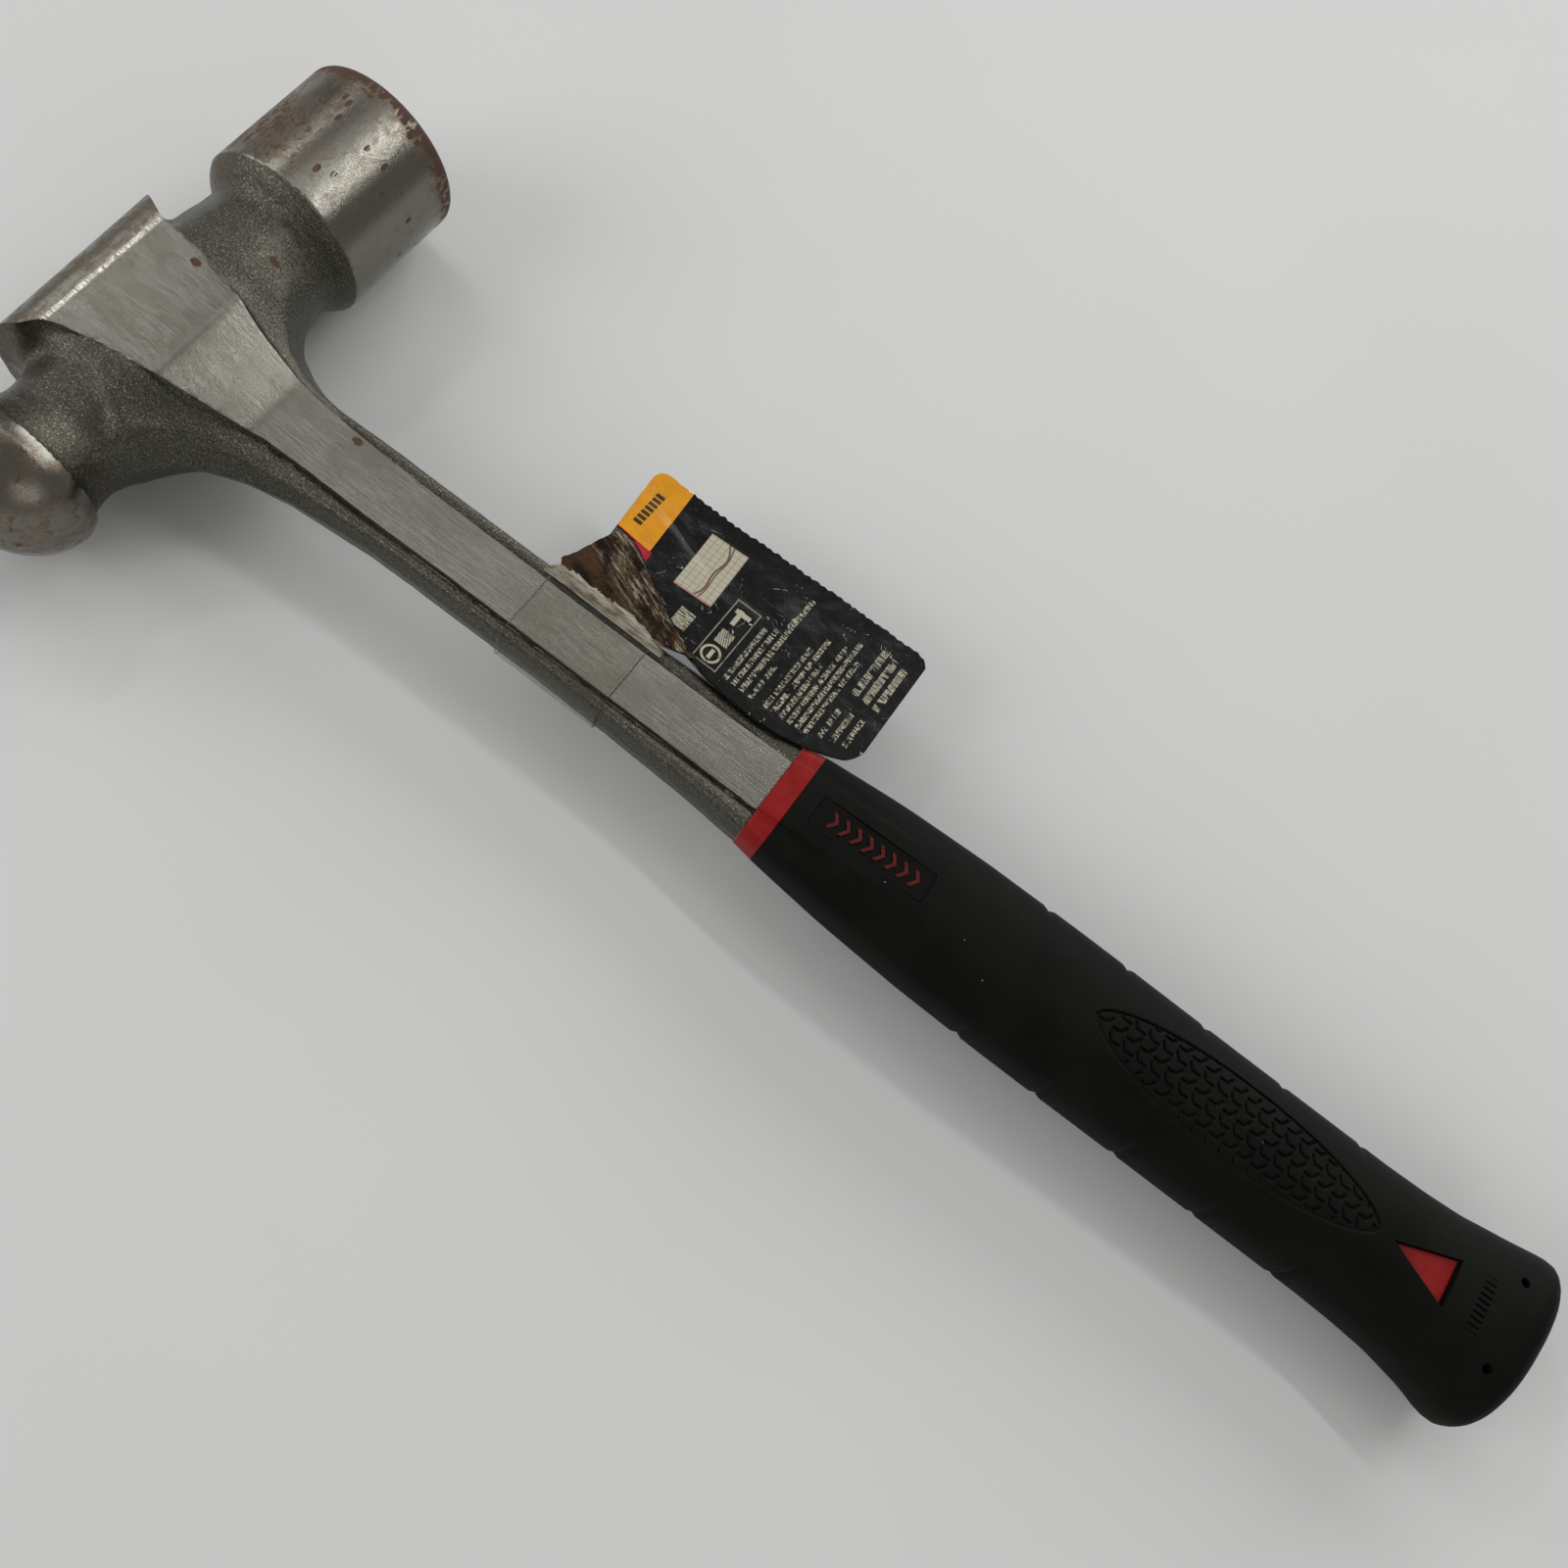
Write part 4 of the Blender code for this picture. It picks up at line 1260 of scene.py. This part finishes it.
def printed_lines(card, x, s):
    """Rows of marks like print too small to read, and a few bold ones."""
    lines = [(151.0, 152.3, 4.5, 22.6), (153.3, 154.6, 4.4, 24.5), (155.6, 157.0, 4.3, 37.7)]
    lines += [(158.4, 159.6, 4.4, 16.2)]
    for i, end in enumerate((26, 31, 24, 33, 36, 31)):
        lines.append((162.4 + 2.2 * i, 163.7 + 2.2 * i, 4.7 + 0.2 * i, end))
    lines += [(176.6 + 3.0 * i, 178.0 + 3.0 * i, 7.5 + 1.0 * i, 17.5 + 0.6 * i) for i in range(3)]
    bold = [(177.0 + 3.1 * i, 178.9 + 3.1 * i, 23.0, 39.0 - 0.7 * i) for i in range(3)]
    bold += [(133.0, 137.2, 8.0, 13.4)]
    strokes = card.noise(card.join(x * 1.1, s * 2.2, 3.0), 1.0, 2, 0.6).ramp(0.44, 0.54)
    letters = card.noise(card.join(x * 0.25, s * 2.4, 9.0), 1.0, 1).ramp(0.40, 0.48)
    gaps = card.noise(card.join(x * 0.3, s * 0.5, 5.0), 1.0, 0).ramp(0.30, 0.35)
    fine = any_of([patch(x, s, *line) for line in lines]) * strokes * letters
    heavy = any_of([patch(x, s, *line) for line in bold]) * strokes.max(0.55) * letters
    return fine.max(heavy) * gaps


def print_material():
    """Black card printed with a yellow end, a red stripe, a chart, three signs and unreadable lines."""
    card = Shader("printed_card")
    x, s = card.stored("card_x"), card.stored("card_s")
    point = card.join(x, s, 0.0)
    stripe_end = (s - 16.3) * -0.068 + 118.8
    slanted_end = (x - TEAR_X) * -0.08 + RED_END_S
    yellow = (x < stripe_end + 0.1) * (s > slanted_end)
    red = (x < stripe_end + 0.8) * (s < slanted_end)

    scuff = card.noise(card.join(x * 0.5, s, 0.0), 0.28, 5, 0.72, 1.2)
    worn = scuff.ramp(0.60, 0.75)
    # Thin pale loops where the card is scuffed: partly scratches, partly a painted highlight along its
    # wrinkles
    scratches_and_glints = (card.noise(point, 0.11, 2, 0.5, 0.8) - 0.5).abs().ramp(0.005, 0.002) * scuff.ramp(0.53, 0.60)
    colour = card.mix(worn * 0.2, (0.0040, 0.0042, 0.0036), (0.026, 0.026, 0.022))
    yellows = card.mix(scuff.ramp(0.35, 0.7), (0.66, 0.28, 0.013), (0.56, 0.23, 0.015))
    colour = card.mix(yellow, colour, yellows)
    colour = card.mix(red, colour, (0.34, 0.004, 0.018))
    code = yellow * patch(x, s, 110.4, 112.8, 24.5, 36.0) * ((s * 0.62).math("FRACT") > 0.28)
    colour = card.mix(code, colour, (0.05, 0.03, 0.01))
    colour = add_chart(card, x, s, colour)
    printed = printed_lines(card, x, s).max(printed_signs(x, s))
    colour = card.mix(printed * scuff.ramp(0.72, 0.50), colour, CREAM)
    # Paints the pale loops near white: partly scratches, partly painted highlight along the wrinkles
    colour = card.mix(scratches_and_glints * 0.7, colour, (0.6, 0.6, 0.58))
    wrinkles = card.noise(point, 0.35, 4, 0.6, 0.4)
    relief = card.bump(wrinkles + scratches_and_glints * 0.3, 0.12)
    return card.finish(colour, card.blend(worn, 0.22, 0.5), relief, 0.14)


def rear_card_material():
    card = Shader("rear_card")
    x, s = card.stored("card_x"), card.stored("card_s")
    point = card.join(x, s, 0.0)
    scuff = card.noise(point, 0.3, 5, 0.7, 0.8)
    colour = card.mix(scuff.ramp(0.55, 0.75) * 0.4, (0.007, 0.007, 0.0065), (0.045, 0.045, 0.04))
    tab = s.ramp(5.0, 3.0) * x.ramp(140, 134)
    colour = card.mix(tab, colour, (0.10, 0.06, 0.035))
    return card.finish(colour, card.blend(scuff, 0.25, 0.5), card.bump(card.noise(point, 0.4, 4, 0.6), 0.1))


def kraft_material():
    """Wet-stained brown paper with pale torn fibres."""
    kraft = Shader("torn_kraft_paper")
    x, s = kraft.stored("card_x"), kraft.stored("card_s")
    run, over = x * 0.93 - s * 0.37, s * 0.93 + x * 0.37
    fibre = kraft.noise(kraft.join(run * 0.22, over * 1.3, 0.0), 1.0, 5, 0.75, 0.6)
    stain = kraft.noise(kraft.join(run * 0.5, over, 4.0), 0.22, 4, 0.6)
    colour = kraft.mix(stain.ramp(0.35, 0.65), (0.012, 0.006, 0.003), (0.060, 0.032, 0.015))
    pale = fibre.ramp(0.50, 0.60) * over.ramp(47.5, 53.5) * stain.ramp(0.3, 0.55)
    colour = kraft.mix(pale, colour, (0.27, 0.23, 0.17))
    return kraft.finish(colour, kraft.blend(fibre, 0.5, 0.9), kraft.bump(fibre, 0.25), 0.08)


def film_material():
    """Clear film: what is under it shows through, under a faint yellow and a sharp gloss."""
    film = Shader("clear_film")
    point = film.mm()
    x = film.split(point)[0]
    clear = film.add("ShaderNodeBsdfTransparent")
    clear.inputs["Color"].default_value = (0.98, 0.98, 0.97, 1)
    film.set("Roughness", 0.12)
    film.set("Normal", film.bump(film.noise(film.stretch(point, (0.4, 1.5, 1.5)), 0.7, 3), 0.05))
    ends = (x.ramp(BAND_X[0] + 1.1, BAND_X[0] + 0.7) * 0.6).max(x.ramp(BAND_X[1] - 0.55, BAND_X[1] - 0.3))
    haze = film.mix(film.noise(point, 0.3, 3), (0.14, 0.135, 0.115), (0.20, 0.19, 0.165))
    film.set("Base Color", film.mix(ends, haze, (0.02, 0.018, 0.013)))
    facing = film.add("ShaderNodeLayerWeight")
    facing.inputs["Blend"].default_value = 0.25
    share = (Num(film, facing.outputs["Facing"]) * 0.25 + 0.02 + ends * 0.6).min(0.8)
    mixer = film.add("ShaderNodeMixShader")
    film.plug(share, mixer.inputs[0])
    film.tree.links.new(clear.outputs[0], mixer.inputs[1])
    film.tree.links.new(film.principled.outputs[0], mixer.inputs[2])
    film.tree.links.new(mixer.outputs[0], film.tree.nodes["Material Output"].inputs["Surface"])
    return film.material


def torn_film_material():
    """Film gone cloudy and stained where it tore."""
    film = Shader("torn_film")
    cloud = film.noise(film.stretch(film.mm(), (0.25, 1.2, 1.2)), 0.8, 4, 0.65)
    colour = film.mix(cloud.ramp(0.36, 0.60), (0.10, 0.075, 0.045), (0.27, 0.25, 0.19))
    return film.finish(colour, 0.25, film.bump(cloud, 0.12))


def damper_material():
    soft = Shader("damper_elastomer")
    grain = soft.noise(soft.mm(), 1.5, 3)
    colour = soft.mix(grain, (0.03, 0.03, 0.034), (0.05, 0.05, 0.055))
    return soft.finish(colour, 0.7, soft.bump(grain, 0.02))


def dress_damper():
    """The damper between the tines keeps its CAD shape."""
    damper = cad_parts["fork_damper"]
    damper.data.materials.clear()
    damper.data.materials.append(damper_material())


add_camera()
add_floor()
add_lights()
make_forging()
dress_damper()
make_sleeve()
make_grip()
make_badge("badge_plate_front", 1, "badge_front")
make_badge("badge_plate_back", -1, "badge_back")
make_film()
make_label()
make_web()
